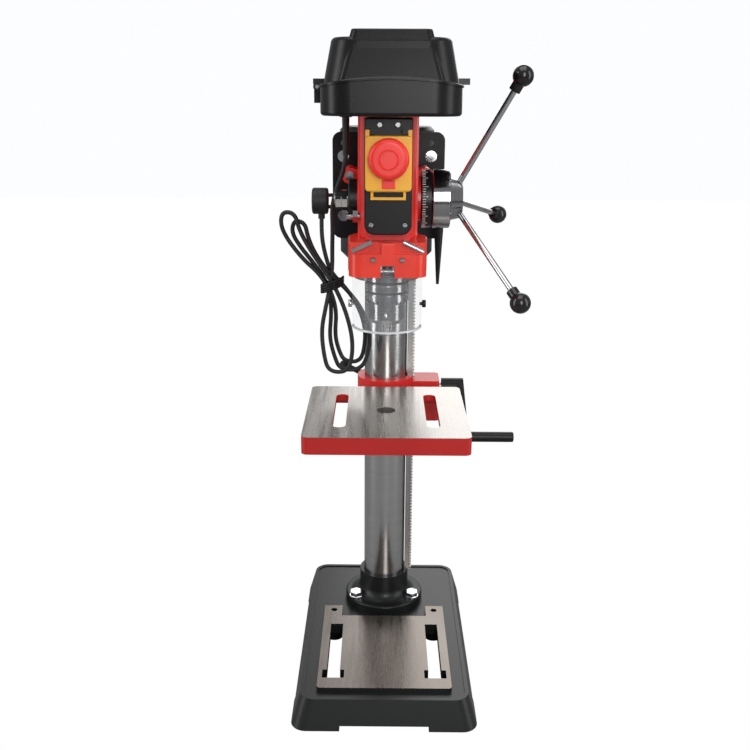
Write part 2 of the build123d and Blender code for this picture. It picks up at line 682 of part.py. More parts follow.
# Crank arm: a hub on the worm shaft, a flat tapered arm and an eye for the grip's pin.
grip_y = COLUMN_Y + CRANK_REACH_Y
grip_z = CRANK_Z + CRANK_DROP_Z
arm_left = CRANK_HUB_RIGHT - CRANK_ARM_THICKNESS
with BuildPart() as crank_arm:
    rod_x(CRANK_HUB_LEFT, CRANK_HUB_RIGHT, COLUMN_Y, CRANK_Z, CRANK_HUB_RADIUS)
    with BuildSketch(Plane.YZ.offset(arm_left)):
        with BuildSketch(mode=Mode.PRIVATE) as arm_ends:
            with Locations((COLUMN_Y, CRANK_Z)):
                Circle(CRANK_HUB_RADIUS)
            with Locations((grip_y, grip_z)):
                Circle(CRANK_GRIP_RADIUS + 1)
        make_hull(arm_ends.sketch.edges())
    extrude(amount=CRANK_ARM_THICKNESS)
    rod_x(CRANK_HUB_LEFT, CRANK_HUB_RIGHT, COLUMN_Y, CRANK_Z, CRANK_SHAFT_RADIUS, Mode.SUBTRACT)
    rod_x(arm_left, CRANK_HUB_RIGHT + CRANK_GRIP_LENGTH, grip_y, grip_z, CRANK_PIN_RADIUS)
crank_arm.part.label = "crank_arm"
export_step(crank_arm.part, "parts/crank_arm.step")

# Grip that turns on the arm's pin.
with BuildPart() as crank_grip:
    grip_left = CRANK_HUB_RIGHT + COVER_GAP
    grip_right = CRANK_HUB_RIGHT + CRANK_GRIP_LENGTH + 3
    rod_x(grip_left, grip_right, grip_y, grip_z, CRANK_GRIP_RADIUS)
    fillet(crank_grip.edges().filter_by(GeomType.CIRCLE), 2.0)
    rod_x(
        grip_left, CRANK_HUB_RIGHT + CRANK_GRIP_LENGTH + FACE_GAP, grip_y, grip_z,
        CRANK_PIN_RADIUS + SHAFT_GAP, Mode.SUBTRACT,
    )
crank_grip.part.label = "crank_grip"
export_step(crank_grip.part, "parts/crank_grip.step")

# Clamp bolt with its lock lever, behind the column at the left.
lever_x = -CLAMP_EAR_HALF - FACE_GAP
with BuildPart() as table_lock:
    rod_x(lever_x - 14, CLAMP_EAR_HALF + 8, clamp_y, CLAMP_Z, CLAMP_ROD_RADIUS)
    rod_x(lever_x - 12, lever_x, clamp_y, CLAMP_Z, CLAMP_ROD_RADIUS + 4)
    rod_x(CLAMP_EAR_HALF + FACE_GAP, CLAMP_EAR_HALF + 7, clamp_y, CLAMP_Z, CLAMP_ROD_RADIUS + 4)
    with Locations(Location((lever_x - 6, clamp_y, CLAMP_Z), (0, -65, 0))):
        Cylinder(4, 46, align=(Align.CENTER, Align.CENTER, Align.MIN))
        with Locations((0, 0, 46)):
            Sphere(7)
table_lock.part.label = "table_lock"
export_step(table_lock.part, "parts/table_lock.step")

# Square table with a skirt, ribs, a centre hole, two slots and a tilt boss behind.
table_inner = TABLE_HALF - TABLE_WALL
with BuildPart() as table:
    extrude(
        rounded(TABLE_SIZE, TABLE_SIZE, TABLE_CORNER, 0, SPINDLE_Y, TABLE_SKIRT_BOTTOM),
        amount=TABLE_SKIRT,
    )
    extrude(
        rounded(2 * table_inner, 2 * table_inner, TABLE_CORNER - 3, 0, SPINDLE_Y, TABLE_SKIRT_BOTTOM),
        amount=TABLE_SKIRT - TABLE_PLATE, mode=Mode.SUBTRACT,
    )
    for side in (-1, 1):
        rib_x = side * TABLE_SLOT_X / 2
        block(
            rib_x - TABLE_RIB / 2, rib_x + TABLE_RIB / 2, SPINDLE_Y - table_inner, SPINDLE_Y + table_inner,
            TABLE_SKIRT_BOTTOM + 3, TABLE_UNDER,
        )
    rod_z(0, SPINDLE_Y, TABLE_SKIRT_BOTTOM, TABLE_UNDER, TABLE_BOSS_RADIUS)
    rod_y(0, TABLE_BACK - TILT_BOSS_DEPTH, TABLE_BACK, TILT_Z, TILT_RADIUS)
    block(
        -TILT_RADIUS, TILT_RADIUS, TABLE_BACK - TILT_BOSS_DEPTH, TABLE_BACK, TILT_Z, TABLE_UNDER,
    )
    rod_z(0, SPINDLE_Y, TABLE_SKIRT_BOTTOM, TABLE_TOP, TABLE_HOLE_RADIUS, Mode.SUBTRACT)
    with BuildSketch(Plane.XY.offset(TABLE_UNDER)):
        with Locations((-TABLE_SLOT_X, SPINDLE_Y), (TABLE_SLOT_X, SPINDLE_Y)):
            SlotOverall(TABLE_SLOT_LENGTH, TABLE_SLOT_WIDTH, rotation=90)
    extrude(amount=TABLE_PLATE, mode=Mode.SUBTRACT)
    rod_y(
        0, TABLE_BACK - TILT_BOSS_DEPTH, TABLE_BACK, TILT_Z, TILT_BOLT_RADIUS + SHAFT_GAP, Mode.SUBTRACT,
    )
table.part.label = "table"
export_step(table.part, "parts/table.step")

# Hex bolt that the table tilts about, screwed into the bracket.
tilt_screw = hex_screw(TILT_BOLT_RADIUS, TILT_BOSS_DEPTH + 16, 18.0, 7.5, 0)
with BuildPart() as tilt_bolt:
    with Locations(Location((0, TABLE_BACK - TILT_BOSS_DEPTH - FACE_GAP, TILT_Z), (90, 0, 0))):
        add(tilt_screw)
tilt_bolt.part.label = "tilt_bolt"
export_step(tilt_bolt.part, "parts/tilt_bolt.step")

# ------------------------------------------------------------------ head

# Head casting: column clamp, quill boss, feed bosses, lugs for the motor's slide rods
# and for the tension lever.
with BuildPart() as head_casting:
    rod_z(0, COLUMN_Y, HEAD_BOTTOM, HEAD_TOP, HEAD_CLAMP_RADIUS)
    rod_z(0, SPINDLE_Y, HEAD_BOTTOM, HEAD_TOP, QUILL_BOSS_RADIUS)
    block(-HEAD_HALF, HEAD_HALF, SPINDLE_Y, COLUMN_Y, HEAD_BOTTOM, HEAD_TOP)
    block(-SWITCH_HALF + 2, SWITCH_HALF - 2, HEAD_FRONT, SPINDLE_Y, HEAD_BOTTOM, HEAD_TOP)
    rod_x(0, FEED_BOSS_RIGHT, PINION_Y, FEED_Z, FEED_BOSS_RADIUS)
    rod_x(HUB_BOSS_LEFT - 1, 0, PINION_Y, FEED_Z, SPRING_BOSS_RADIUS)
    for side in (-1, 1):
        rod_y(side * ROD_X, ROD_LUG_FRONT, ROD_LUG_BACK, ROD_Z, ROD_LUG_RADIUS)
        lug = sorted((side * HEAD_HALF / 2, side * ROD_X))
        block(lug[0], lug[1], ROD_LUG_FRONT, ROD_LUG_BACK, ROD_Z - 8, ROD_Z + 8)
    rod_x(0, LEVER_X - LEVER_THICKNESS, LEVER_PIVOT_Y, LEVER_PIVOT_Z, LEVER_LUG_RADIUS)
    block(-HEAD_HALF + HEAD_WALL, HEAD_HALF - HEAD_WALL, SPINDLE_Y + 50, COLUMN_Y - HEAD_CLAMP_RADIUS - 3,
          HEAD_BOTTOM, HEAD_TOP - 6, Mode.SUBTRACT)
    rod_z(0, COLUMN_Y, HEAD_BOTTOM, COLUMN_TOP, COLUMN_RADIUS + SHAFT_GAP, Mode.SUBTRACT)
    rod_z(0, SPINDLE_Y, HEAD_BOTTOM, QUILL_TOP + 2, QUILL_RADIUS + SHAFT_GAP, Mode.SUBTRACT)
    rod_z(0, SPINDLE_Y, HEAD_BOTTOM, HEAD_TOP, SLEEVE_RADIUS + FACE_GAP, Mode.SUBTRACT)
    rod_z(0, SPINDLE_Y, HEAD_TOP - BEARING_WIDTH, HEAD_TOP, SLEEVE_RADIUS + 7, Mode.SUBTRACT)
    rod_x(-HEAD_HALF * 2, HEAD_HALF * 2, PINION_Y, FEED_Z, PINION_SHAFT_RADIUS + SHAFT_GAP, Mode.SUBTRACT)
    pinion_room = PINION_RADIUS + PINION_MODULE + FACE_GAP
    rod_x(-QUILL_RADIUS / 2, FEED_BOSS_RIGHT, PINION_Y, FEED_Z, pinion_room, Mode.SUBTRACT)
    for side in (-1, 1):
        rod_y(side * ROD_X, ROD_LUG_FRONT, ROD_LUG_BACK, ROD_Z, ROD_RADIUS + SHAFT_GAP, Mode.SUBTRACT)
    rod_x(
        COLUMN_RADIUS + HEAD_WALL, LEVER_X, LEVER_PIVOT_Y, LEVER_PIVOT_Z,
        LEVER_SHAFT_RADIUS + SHAFT_GAP, Mode.SUBTRACT,
    )
    rod_x(-HEAD_HALF * 2, -QUILL_RADIUS, SPINDLE_Y, GIB_Z, GIB_SCREW_RADIUS, Mode.SUBTRACT)
head_casting.part.label = "head_casting"
export_step(head_casting.part, "parts/head_casting.step")

# Gib screw with its lock nut, at the left of the quill.
with BuildPart() as gib_screw:
    rod_x(
        -QUILL_RADIUS - SHAFT_GAP - GIB_LENGTH, -QUILL_RADIUS - SHAFT_GAP, SPINDLE_Y, GIB_Z,
        GIB_SCREW_RADIUS,
    )
    with BuildSketch(Plane.YZ.offset(-HEAD_HALF - GIB_NUT_THICKNESS)):
        with Locations((SPINDLE_Y, GIB_Z)):
            RegularPolygon(7, 6, major_radius=False)
    extrude(amount=GIB_NUT_THICKNESS)
gib_screw.part.label = "gib_screw"
export_step(gib_screw.part, "parts/gib_screw.step")

# Quill: a tube with rack teeth cut across its back.
quill_pitch = math.pi * PINION_MODULE
quill_rack_depth = 2.3 * PINION_MODULE
quill_tip = SPINDLE_Y + QUILL_RACK_DEPTH + PINION_MODULE
quill_slope = quill_rack_depth * math.tan(math.radians(20))
quill_mouth = quill_pitch / 2 + 2 * PINION_MODULE * math.tan(math.radians(20)) + 0.45
quill_gaps = int((QUILL_TOP - FEED_Z) / quill_pitch)
with BuildPart() as quill:
    rod_z(0, SPINDLE_Y, QUILL_BOTTOM, QUILL_TOP, QUILL_RADIUS)
    rod_z(0, SPINDLE_Y, QUILL_BOTTOM, QUILL_TOP, SPINDLE_RADIUS + 2, Mode.SUBTRACT)
    for end in (QUILL_BOTTOM, QUILL_TOP - BEARING_WIDTH):
        rod_z(0, SPINDLE_Y, end, end + BEARING_WIDTH, QUILL_RADIUS - QUILL_WALL, Mode.SUBTRACT)
    with BuildSketch(Plane.YZ.offset(-PINION_RADIUS)):
        with Locations(*[(quill_tip, FEED_Z + n * quill_pitch) for n in range(-1, quill_gaps + 2)]):
            Polygon(
                (2, quill_mouth / 2), (0, quill_mouth / 2),
                (-quill_rack_depth, quill_mouth / 2 - quill_slope),
                (-quill_rack_depth, quill_slope - quill_mouth / 2), (0, -quill_mouth / 2),
                (2, -quill_mouth / 2), align=None,
            )
    extrude(amount=2 * PINION_RADIUS, mode=Mode.SUBTRACT)
    block(
        -PINION_RADIUS, PINION_RADIUS, quill_tip, SPINDLE_Y + QUILL_RADIUS,
        FEED_Z - 1.5 * quill_pitch, QUILL_TOP, Mode.SUBTRACT,
    )
quill.part.label = "quill"
export_step(quill.part, "parts/quill.step")

# Two bearings, one at each end of the quill.
with BuildPart() as quill_bearings:
    for end in (QUILL_BOTTOM, QUILL_TOP - BEARING_WIDTH):
        rod_z(0, SPINDLE_Y, end, end + BEARING_WIDTH, QUILL_RADIUS - QUILL_WALL)
        rod_z(0, SPINDLE_Y, end, end + BEARING_WIDTH, SPINDLE_RADIUS + SHAFT_GAP, Mode.SUBTRACT)
quill_bearings.part.label = "quill_bearings"
export_step(quill_bearings.part, "parts/quill_bearings.step")

# Spindle: shoulder and chuck nose below, drive end above.
with BuildPart() as spindle:
    rod_z(0, SPINDLE_Y, SPINDLE_SHOULDER, QUILL_BOTTOM - FACE_GAP, SPINDLE_RADIUS + 4)
    rod_z(0, SPINDLE_Y, SPINDLE_SHOULDER, QUILL_TOP + COVER_GAP, SPINDLE_RADIUS)
    rod_z(0, SPINDLE_Y, QUILL_TOP, SPINDLE_TOP, SPINDLE_TOP_RADIUS)
    rod_z(0, SPINDLE_Y, SPINDLE_NOSE_BOTTOM, SPINDLE_SHOULDER, SPINDLE_NOSE_RADIUS)
spindle.part.label = "spindle"
export_step(spindle.part, "parts/spindle.step")

# Chuck body, with a blind hole for the spindle's nose and slanted ways for the jaws.
jaw_angles = (90, 210, 330)
jaw_tip_radius = JAW_OPENING + JAW_RADIUS
with BuildPart() as chuck_body:
    with BuildSketch(Plane.XZ.offset(-SPINDLE_Y)):
        Polygon(
            (0, CHUCK_BOTTOM), (CHUCK_NOSE_RADIUS, CHUCK_BOTTOM), (CHUCK_NECK_RADIUS, CHUCK_BOTTOM + 5),
            (CHUCK_NECK_RADIUS, CHUCK_SLEEVE_BOTTOM - FACE_GAP),
            (CHUCK_CORE_RADIUS, CHUCK_SLEEVE_BOTTOM - FACE_GAP),
            (CHUCK_CORE_RADIUS, CHUCK_TOP), (0, CHUCK_TOP), align=None,
        )
    revolve(axis=Axis((0, SPINDLE_Y, 0), (0, 0, 1)))
    rod_z(0, SPINDLE_Y, SPINDLE_NOSE_BOTTOM, CHUCK_TOP, SPINDLE_NOSE_RADIUS, Mode.SUBTRACT)
    rod_z(0, SPINDLE_Y, CHUCK_BOTTOM, CHUCK_SLEEVE_BOTTOM + 8, JAW_BORE, Mode.SUBTRACT)
    for angle in jaw_angles:
        with Locations(Location((0, SPINDLE_Y, JAW_TIP), (0, 0, angle))):
            with Locations(Location((jaw_tip_radius, 0, 0), (0, JAW_SLANT, 0))):
                Cylinder(
                    JAW_RADIUS + SHAFT_GAP, JAW_LENGTH + 16, mode=Mode.SUBTRACT,
                    align=(Align.CENTER, Align.CENTER, Align.MIN),
                )
        with Locations(Location((0, SPINDLE_Y, KEY_HOLE_Z), (0, 0, angle + 60))):
            with Locations(Location((CHUCK_NECK_RADIUS - 9, 0, 0), (0, 90, 0))):
                Cylinder(
                    KEY_HOLE_RADIUS, 20, mode=Mode.SUBTRACT,
                    align=(Align.CENTER, Align.CENTER, Align.MIN),
                )
chuck_body.part.label = "chuck_body"
export_step(chuck_body.part, "parts/chuck_body.step")

# Toothed sleeve that the chuck key turns.
with BuildPart() as chuck_sleeve:
    rod_z(0, SPINDLE_Y, CHUCK_SLEEVE_BOTTOM, CHUCK_TOP, CHUCK_SLEEVE_RADIUS)
    chamfer(chuck_sleeve.edges().group_by(Axis.Z)[0], 3.0)
    chamfer(chuck_sleeve.edges().group_by(Axis.Z)[-1], 1.0)
    rod_z(0, SPINDLE_Y, CHUCK_SLEEVE_BOTTOM, CHUCK_TOP, CHUCK_CORE_RADIUS + SHAFT_GAP, Mode.SUBTRACT)
    with BuildSketch(Plane.XZ.offset(-SPINDLE_Y)):
        for groove in (0.36, 0.7):
            groove_z = CHUCK_SLEEVE_BOTTOM + groove * (CHUCK_TOP - CHUCK_SLEEVE_BOTTOM)
            with Locations((CHUCK_SLEEVE_RADIUS, groove_z)):
                Rectangle(2.4, 3.0)
    revolve(axis=Axis((0, SPINDLE_Y, 0), (0, 0, 1)), mode=Mode.SUBTRACT)
    with Locations((0, SPINDLE_Y, CHUCK_SLEEVE_BOTTOM)):
        with PolarLocations(CHUCK_SLEEVE_RADIUS, CHUCK_KEY_TEETH):
            Box(7, 2.6, 9, mode=Mode.SUBTRACT)
chuck_sleeve.part.label = "chuck_sleeve"
export_step(chuck_sleeve.part, "parts/chuck_sleeve.step")

# Three jaws, each on its own slanted way.
for number, angle in enumerate(jaw_angles, start=1):
    with BuildPart() as chuck_jaw:
        with Locations(Location((0, SPINDLE_Y, JAW_TIP), (0, 0, angle))):
            with Locations(Location((jaw_tip_radius, 0, 0), (0, JAW_SLANT, 0))):
                Cylinder(JAW_RADIUS, JAW_LENGTH, align=(Align.CENTER, Align.CENTER, Align.MIN))
    chuck_jaw.part.label = f"chuck_jaw_{number}"
    export_step(chuck_jaw.part, f"parts/chuck_jaw_{number}.step")

# ------------------------------------------------------------------ feed

# Pinion shaft through the head: pinion in the middle, spring end at the left.
pinion_outline = gear_outline(PINION_TEETH, PINION_MODULE, 0.15)
with BuildPart() as pinion_shaft:
    rod_x(PINION_SHAFT_LEFT, FEED_HUB_RIGHT, PINION_Y, FEED_Z, PINION_SHAFT_RADIUS)
    with BuildSketch(Plane.YZ.offset(-PINION_RADIUS / 2)):
        with Locations(Location((PINION_Y, FEED_Z), 180)):
            add(pinion_outline)
    extrude(amount=PINION_RADIUS * 1.5)
pinion_shaft.part.label = "pinion_shaft"
export_step(pinion_shaft.part, "parts/pinion_shaft.step")

# Hub with three slanted bosses that the spokes screw into.
spoke_angles = [SPOKE_FIRST_ANGLE + n * 360 / SPOKE_COUNT for n in range(SPOKE_COUNT)]


def spoke_point(angle, x, radius):
    """A point at this radius from the feed axis, its angle measured upward from the front."""
    turn = math.radians(angle)
    return Vector(x, PINION_Y - radius * math.cos(turn), FEED_Z + radius * math.sin(turn))


def spoke_plane(angle, x, radius):
    """A plane across a spoke, its normal pointing at the knob."""
    start = spoke_point(angle, SPOKE_START_X, SPOKE_START_RADIUS)
    end = spoke_point(angle, KNOB_X, KNOB_CIRCLE)
    return Plane(spoke_point(angle, x, radius), z_dir=end - start)


spoke_start = spoke_point(0, SPOKE_START_X, SPOKE_START_RADIUS)
spoke_length = (spoke_point(0, KNOB_X, KNOB_CIRCLE) - spoke_start).length
with BuildPart() as feed_hub:
    rod_x(FEED_HUB_LEFT, FEED_HUB_RIGHT, PINION_Y, FEED_Z, FEED_HUB_RADIUS)
    chamfer(feed_hub.edges().filter_by(GeomType.CIRCLE), 1.2)
    with BuildSketch(Plane.YZ.offset(FEED_HUB_RIGHT)):
        with Locations((PINION_Y, FEED_Z)):
            Circle(FEED_NOSE_RADIUS)
    extrude(amount=FEED_NOSE_RIGHT - FEED_HUB_RIGHT, taper=12)
    rod_x(FEED_HUB_LEFT, FEED_HUB_RIGHT, PINION_Y, FEED_Z, PINION_SHAFT_RADIUS, Mode.SUBTRACT)
    for angle in spoke_angles:
        with Locations(spoke_plane(angle, SPOKE_START_X, SPOKE_START_RADIUS)):
            Cylinder(
                SPOKE_RADIUS, spoke_length, align=(Align.CENTER, Align.CENTER, Align.MIN),
                mode=Mode.SUBTRACT,
            )
feed_hub.part.label = "feed_hub"
export_step(feed_hub.part, "parts/feed_hub.step")

# Three spokes.
with BuildPart() as feed_spokes:
    for angle in spoke_angles:
        with Locations(spoke_plane(angle, SPOKE_START_X, SPOKE_START_RADIUS)):
            Cylinder(SPOKE_RADIUS, spoke_length, align=(Align.CENTER, Align.CENTER, Align.MIN))
feed_spokes.part.label = "feed_spokes"
export_step(feed_spokes.part, "parts/feed_spokes.step")

# Three ball knobs with short collars.
with BuildPart() as feed_knobs:
    for angle in spoke_angles:
        with Locations(spoke_plane(angle, KNOB_X, KNOB_CIRCLE)):
            Sphere(KNOB_RADIUS)
            Cylinder(
                KNOB_COLLAR_RADIUS, KNOB_RADIUS + KNOB_COLLAR_LENGTH,
                align=(Align.CENTER, Align.CENTER, Align.MAX),
            )
            Cylinder(
                SPOKE_RADIUS, spoke_length, align=(Align.CENTER, Align.CENTER, Align.MAX),
                mode=Mode.SUBTRACT,
            )
feed_knobs.part.label = "feed_knobs"
export_step(feed_knobs.part, "parts/feed_knobs.step")

# Depth scale ring between the head and the hub.
with BuildPart() as depth_ring:
    rod_x(DEPTH_RING_LEFT, DEPTH_RING_RIGHT, PINION_Y, FEED_Z, DEPTH_RING_RADIUS)
    chamfer(depth_ring.edges().filter_by(GeomType.CIRCLE), 0.8)
    rod_x(
        DEPTH_RING_LEFT, DEPTH_RING_RIGHT, PINION_Y, FEED_Z, PINION_SHAFT_RADIUS + SHAFT_GAP, Mode.SUBTRACT,
    )
depth_ring.part.label = "depth_ring"
export_step(depth_ring.part, "parts/depth_ring.step")

# Cap over the return spring.
cap_left = SPRING_CAP_LEFT
with BuildPart() as spring_cap:
    rod_x(cap_left, HUB_BOSS_LEFT - 1, PINION_Y, FEED_Z, SPRING_CAP_RADIUS)
    fillet(spring_cap.edges().filter_by(GeomType.CIRCLE).group_by(Axis.X)[0], 1.8)
    rod_x(
        cap_left + SPRING_CAP_WALL, HUB_BOSS_LEFT - 1, PINION_Y, FEED_Z,
        SPRING_CAP_RADIUS - SPRING_CAP_WALL, Mode.SUBTRACT,
    )
    rod_x(cap_left, HUB_BOSS_LEFT, PINION_Y, FEED_Z, PINION_SHAFT_RADIUS + FACE_GAP, Mode.SUBTRACT)
spring_cap.part.label = "spring_cap"
export_step(spring_cap.part, "parts/spring_cap.step")

# Flat spiral return spring inside the cap, drawn as its turns of strip.
with BuildPart() as return_spring:
    with BuildSketch(Plane.YZ.offset(cap_left + SPRING_CAP_WALL + COVER_GAP)):
        with Locations((PINION_Y, FEED_Z)):
            for turn in range(4):
                Circle(SPRING_RADIUS - turn * SPRING_PITCH)
                Circle(SPRING_RADIUS - turn * SPRING_PITCH - SPRING_STRIP, mode=Mode.SUBTRACT)
            with Locations((SPRING_RADIUS - 1.5 * SPRING_PITCH - SPRING_STRIP / 2, 0)):
                Rectangle(3 * SPRING_PITCH, SPRING_STRIP)
    extrude(amount=7)
return_spring.part.label = "return_spring"
export_step(return_spring.part, "parts/return_spring.step")

# Two jam nuts on the shaft's left end.
with BuildPart() as cap_nuts:
    for nut in (0, 1):
        with BuildSketch(Plane.YZ.offset(PINION_SHAFT_LEFT + 2 + nut * (CAP_NUT_THICKNESS + 0.4))):
            with Locations((PINION_Y, FEED_Z)):
                RegularPolygon(CAP_NUT_FLATS / 2, 6, major_radius=False)
                Circle(PINION_SHAFT_RADIUS, mode=Mode.SUBTRACT)
        extrude(amount=CAP_NUT_THICKNESS)
cap_nuts.part.label = "cap_nuts"
export_step(cap_nuts.part, "parts/cap_nuts.step")

# ------------------------------------------------------------------ belt housing and drive

# Tub: an open tray whose rim is crowned across its width.
tub_plan = (2 * TUB_HALF, TUB_DEPTH)
motor_slot = MOTOR_SHAFT_RADIUS + 5
with BuildPart() as belt_tub:
    extrude(
        rounded(*tub_plan, TUB_CORNER, TUB_X, TUB_MIDDLE_Y, TUB_BOTTOM), amount=SEAM_CROWN - TUB_BOTTOM,
    )
    fillet(belt_tub.edges().group_by(Axis.Z)[0], 4.0)
    extrude(
        rounded(
            tub_plan[0] - 2 * TUB_WALL, tub_plan[1] - 2 * TUB_WALL, TUB_CORNER - TUB_WALL,
            TUB_X, TUB_MIDDLE_Y, TUB_BOTTOM + TUB_WALL,
        ),
        amount=SEAM_CROWN, mode=Mode.SUBTRACT,
    )
    with BuildSketch(Plane.XZ.offset(-TUB_BACK - 2)):
        with Locations((TUB_X, HINGE_Z - 6)):
            Rectangle(2 * TUB_HALF + 4, SEAM_CROWN - HINGE_Z + 8, align=(Align.CENTER, Align.MIN))
        with Locations((TUB_X, SEAM_CROWN - SEAM_RADIUS)):
            Circle(SEAM_RADIUS, mode=Mode.SUBTRACT)
    extrude(amount=TUB_DEPTH + 4, mode=Mode.SUBTRACT)
    for hinge_y in HINGE_SPAN:
        near, far = hinge_y - HINGE_LENGTH / 2, hinge_y + HINGE_LENGTH / 2
        lug_x = TUB_X - TUB_HALF - HINGE_OUT
        with BuildSketch(Plane.XZ.offset(-far)):
            with Locations((lug_x, HINGE_Z)):
                Circle(HINGE_RADIUS)
                Rectangle(2 * HINGE_RADIUS, 10, align=(Align.CENTER, Align.MAX))
            with Locations((lug_x - HINGE_RADIUS, HINGE_Z - 10)):
                Rectangle(HINGE_OUT + HINGE_RADIUS + TUB_WALL / 2, 8, align=(Align.MIN, Align.MAX))
            with Locations((lug_x, HINGE_Z)):
                Circle(HINGE_PIN_RADIUS, mode=Mode.SUBTRACT)
        extrude(amount=far - near)
    rod_z(0, SPINDLE_Y, TUB_BOTTOM, TUB_BOTTOM + TUB_WALL, SLEEVE_RADIUS + 5, Mode.SUBTRACT)
    with BuildSketch(Plane.XY.offset(TUB_BOTTOM)):
        with Locations((0, MOTOR_Y - MOTOR_TRAVEL / 2)):
            SlotOverall(MOTOR_TRAVEL + 2 * motor_slot + 2, 2 * motor_slot, rotation=90)
    extrude(amount=TUB_WALL, mode=Mode.SUBTRACT)
    rod_z(BOOT_X, BOOT_Y, TUB_BOTTOM, TUB_BOTTOM + TUB_WALL, BOOT_RADIUS, Mode.SUBTRACT)
belt_tub.part.label = "belt_tub"
export_step(belt_tub.part, "parts/belt_tub.step")

# Lid: a tapered shell with a raised middle panel, hinged at the left.
lid_half = TUB_HALF - LID_INSET
lid_depth = TUB_DEPTH - 2 * LID_INSET
LID_RIM = HINGE_Z - 8
lid_levels = (
    rounded(2 * lid_half, lid_depth, TUB_CORNER - 2, TUB_X, TUB_MIDDLE_Y, LID_RIM),
    rounded(
        2 * (lid_half - LID_TAPER), lid_depth - 2 * LID_END_TAPER, TUB_CORNER - 4,
        TUB_X, TUB_MIDDLE_Y, LID_SHOULDER,
    ),
)
room_levels = (
    rounded(
        2 * (lid_half - LID_WALL), lid_depth - 2 * LID_WALL, TUB_CORNER - 2 - LID_WALL,
        TUB_X, TUB_MIDDLE_Y, LID_RIM,
    ),
    rounded(
        2 * (lid_half - LID_TAPER - LID_WALL), lid_depth - 2 * (LID_END_TAPER + LID_WALL),
        TUB_CORNER - 4 - LID_WALL, TUB_X, TUB_MIDDLE_Y, LID_SHOULDER - LID_WALL,
    ),
)
panel_levels = (
    rounded(2 * PANEL_HALF_RIM, lid_depth + 3, 8, TUB_X, TUB_MIDDLE_Y, LID_RIM),
    rounded(
        2 * PANEL_HALF_TOP, lid_depth + 3 - 2 * (LID_END_TAPER + PANEL_FRONT_TAPER / 3), 8,
        TUB_X, TUB_MIDDLE_Y, LID_TOP,
    ),
)
hinge_axis_x = TUB_X - TUB_HALF - HINGE_OUT
with BuildPart() as belt_lid:
    loft([level.face() for level in lid_levels])
    fillet(belt_lid.edges().group_by(Axis.Z)[-1], 6.0)
    loft([level.face() for level in panel_levels])
    fillet(belt_lid.edges().group_by(Axis.Z)[-1], 2.0)
    loft([level.face() for level in room_levels], mode=Mode.SUBTRACT)
    with BuildSketch(Plane.XZ.offset(-TUB_BACK - 2)):
        with Locations((TUB_X, SEAM_CROWN - SEAM_RADIUS)):
            Circle(SEAM_RADIUS + COVER_GAP)
    extrude(amount=TUB_DEPTH + 4, mode=Mode.SUBTRACT)
    for hinge_y in HINGE_SPAN:
        for end in (-1, 1):
            knuckle_y = hinge_y + end * (HINGE_LENGTH + COVER_GAP)
            near, far = knuckle_y - HINGE_LENGTH / 2, knuckle_y + HINGE_LENGTH / 2
            rod_y(hinge_axis_x, near, far, HINGE_Z, HINGE_RADIUS)
            block(
                hinge_axis_x - HINGE_RADIUS, hinge_axis_x + HINGE_OUT + 6, near, far,
                HINGE_Z + 2.5, HINGE_Z + 9,
            )
            rod_y(hinge_axis_x, near, far, HINGE_Z, HINGE_PIN_RADIUS + SHAFT_GAP, Mode.SUBTRACT)
    latch_x = TUB_X + TUB_HALF
    block(latch_x - LID_INSET - LID_WALL, latch_x + LATCH_OUT, SPINDLE_Y - 9, SPINDLE_Y + 9,
          HINGE_Z + 3, HINGE_Z + 10)
belt_lid.part.label = "belt_lid"
export_step(belt_lid.part, "parts/belt_lid.step")

# Two hinge pins tight in the tub's knuckles, and one across the guard holder's recess.
with BuildPart() as hinge_pins:
    for hinge_y in HINGE_SPAN:
        reach = 1.5 * HINGE_LENGTH + COVER_GAP
        rod_y(hinge_axis_x, hinge_y - reach, hinge_y + reach, HINGE_Z, HINGE_PIN_RADIUS)
    rod_x(-GUARD_RECESS_HALF, GUARD_RECESS_HALF, *SHIELD_PIN, SHIELD_PIN_RADIUS)
hinge_pins.part.label = "hinge_pins"
export_step(hinge_pins.part, "parts/hinge_pins.step")


def step_radii(large_first):
    """The five belt radii from the bottom step up."""
    radii = [PULLEY_SMALL + PULLEY_STEP * n for n in range(STEP_COUNT)]
    return radii[::-1] if large_first else radii


def pulley_profile(radii):
    """Half outline of a step pulley: one V groove for each step."""
    points = [(0, PULLEY_BOTTOM)]
    for step, radius in enumerate(radii):
        foot = PULLEY_BOTTOM + step * STEP_HEIGHT
        middle = foot + STEP_HEIGHT / 2
        rim = radius + GROOVE_DEPTH / 2
        floor = radius - GROOVE_DEPTH / 2
        points += [
            (rim, foot), (rim, middle - GROOVE_MOUTH / 2), (floor, middle - GROOVE_FLOOR / 2),
            (floor, middle + GROOVE_FLOOR / 2), (rim, middle + GROOVE_MOUTH / 2), (rim, foot + STEP_HEIGHT),
        ]
    points.append((0, PULLEY_BOTTOM + STEP_COUNT * STEP_HEIGHT))
    return points


# Spindle pulley, largest step at the bottom, on a sleeve that drives the spindle.
with BuildPart() as spindle_pulley:
    with BuildSketch(Plane.XZ.offset(-SPINDLE_Y)):
        Polygon(*pulley_profile(step_radii(True)), align=None)
    revolve(axis=Axis((0, SPINDLE_Y, 0), (0, 0, 1)))
    rod_z(0, SPINDLE_Y, HEAD_TOP - BEARING_WIDTH, PULLEY_BOTTOM, SLEEVE_RADIUS)
    rod_z(
        0, SPINDLE_Y, HEAD_TOP - BEARING_WIDTH, SPINDLE_TOP, SPINDLE_TOP_RADIUS + SHAFT_GAP, Mode.SUBTRACT,
    )
spindle_pulley.part.label = "spindle_pulley"
export_step(spindle_pulley.part, "parts/spindle_pulley.step")

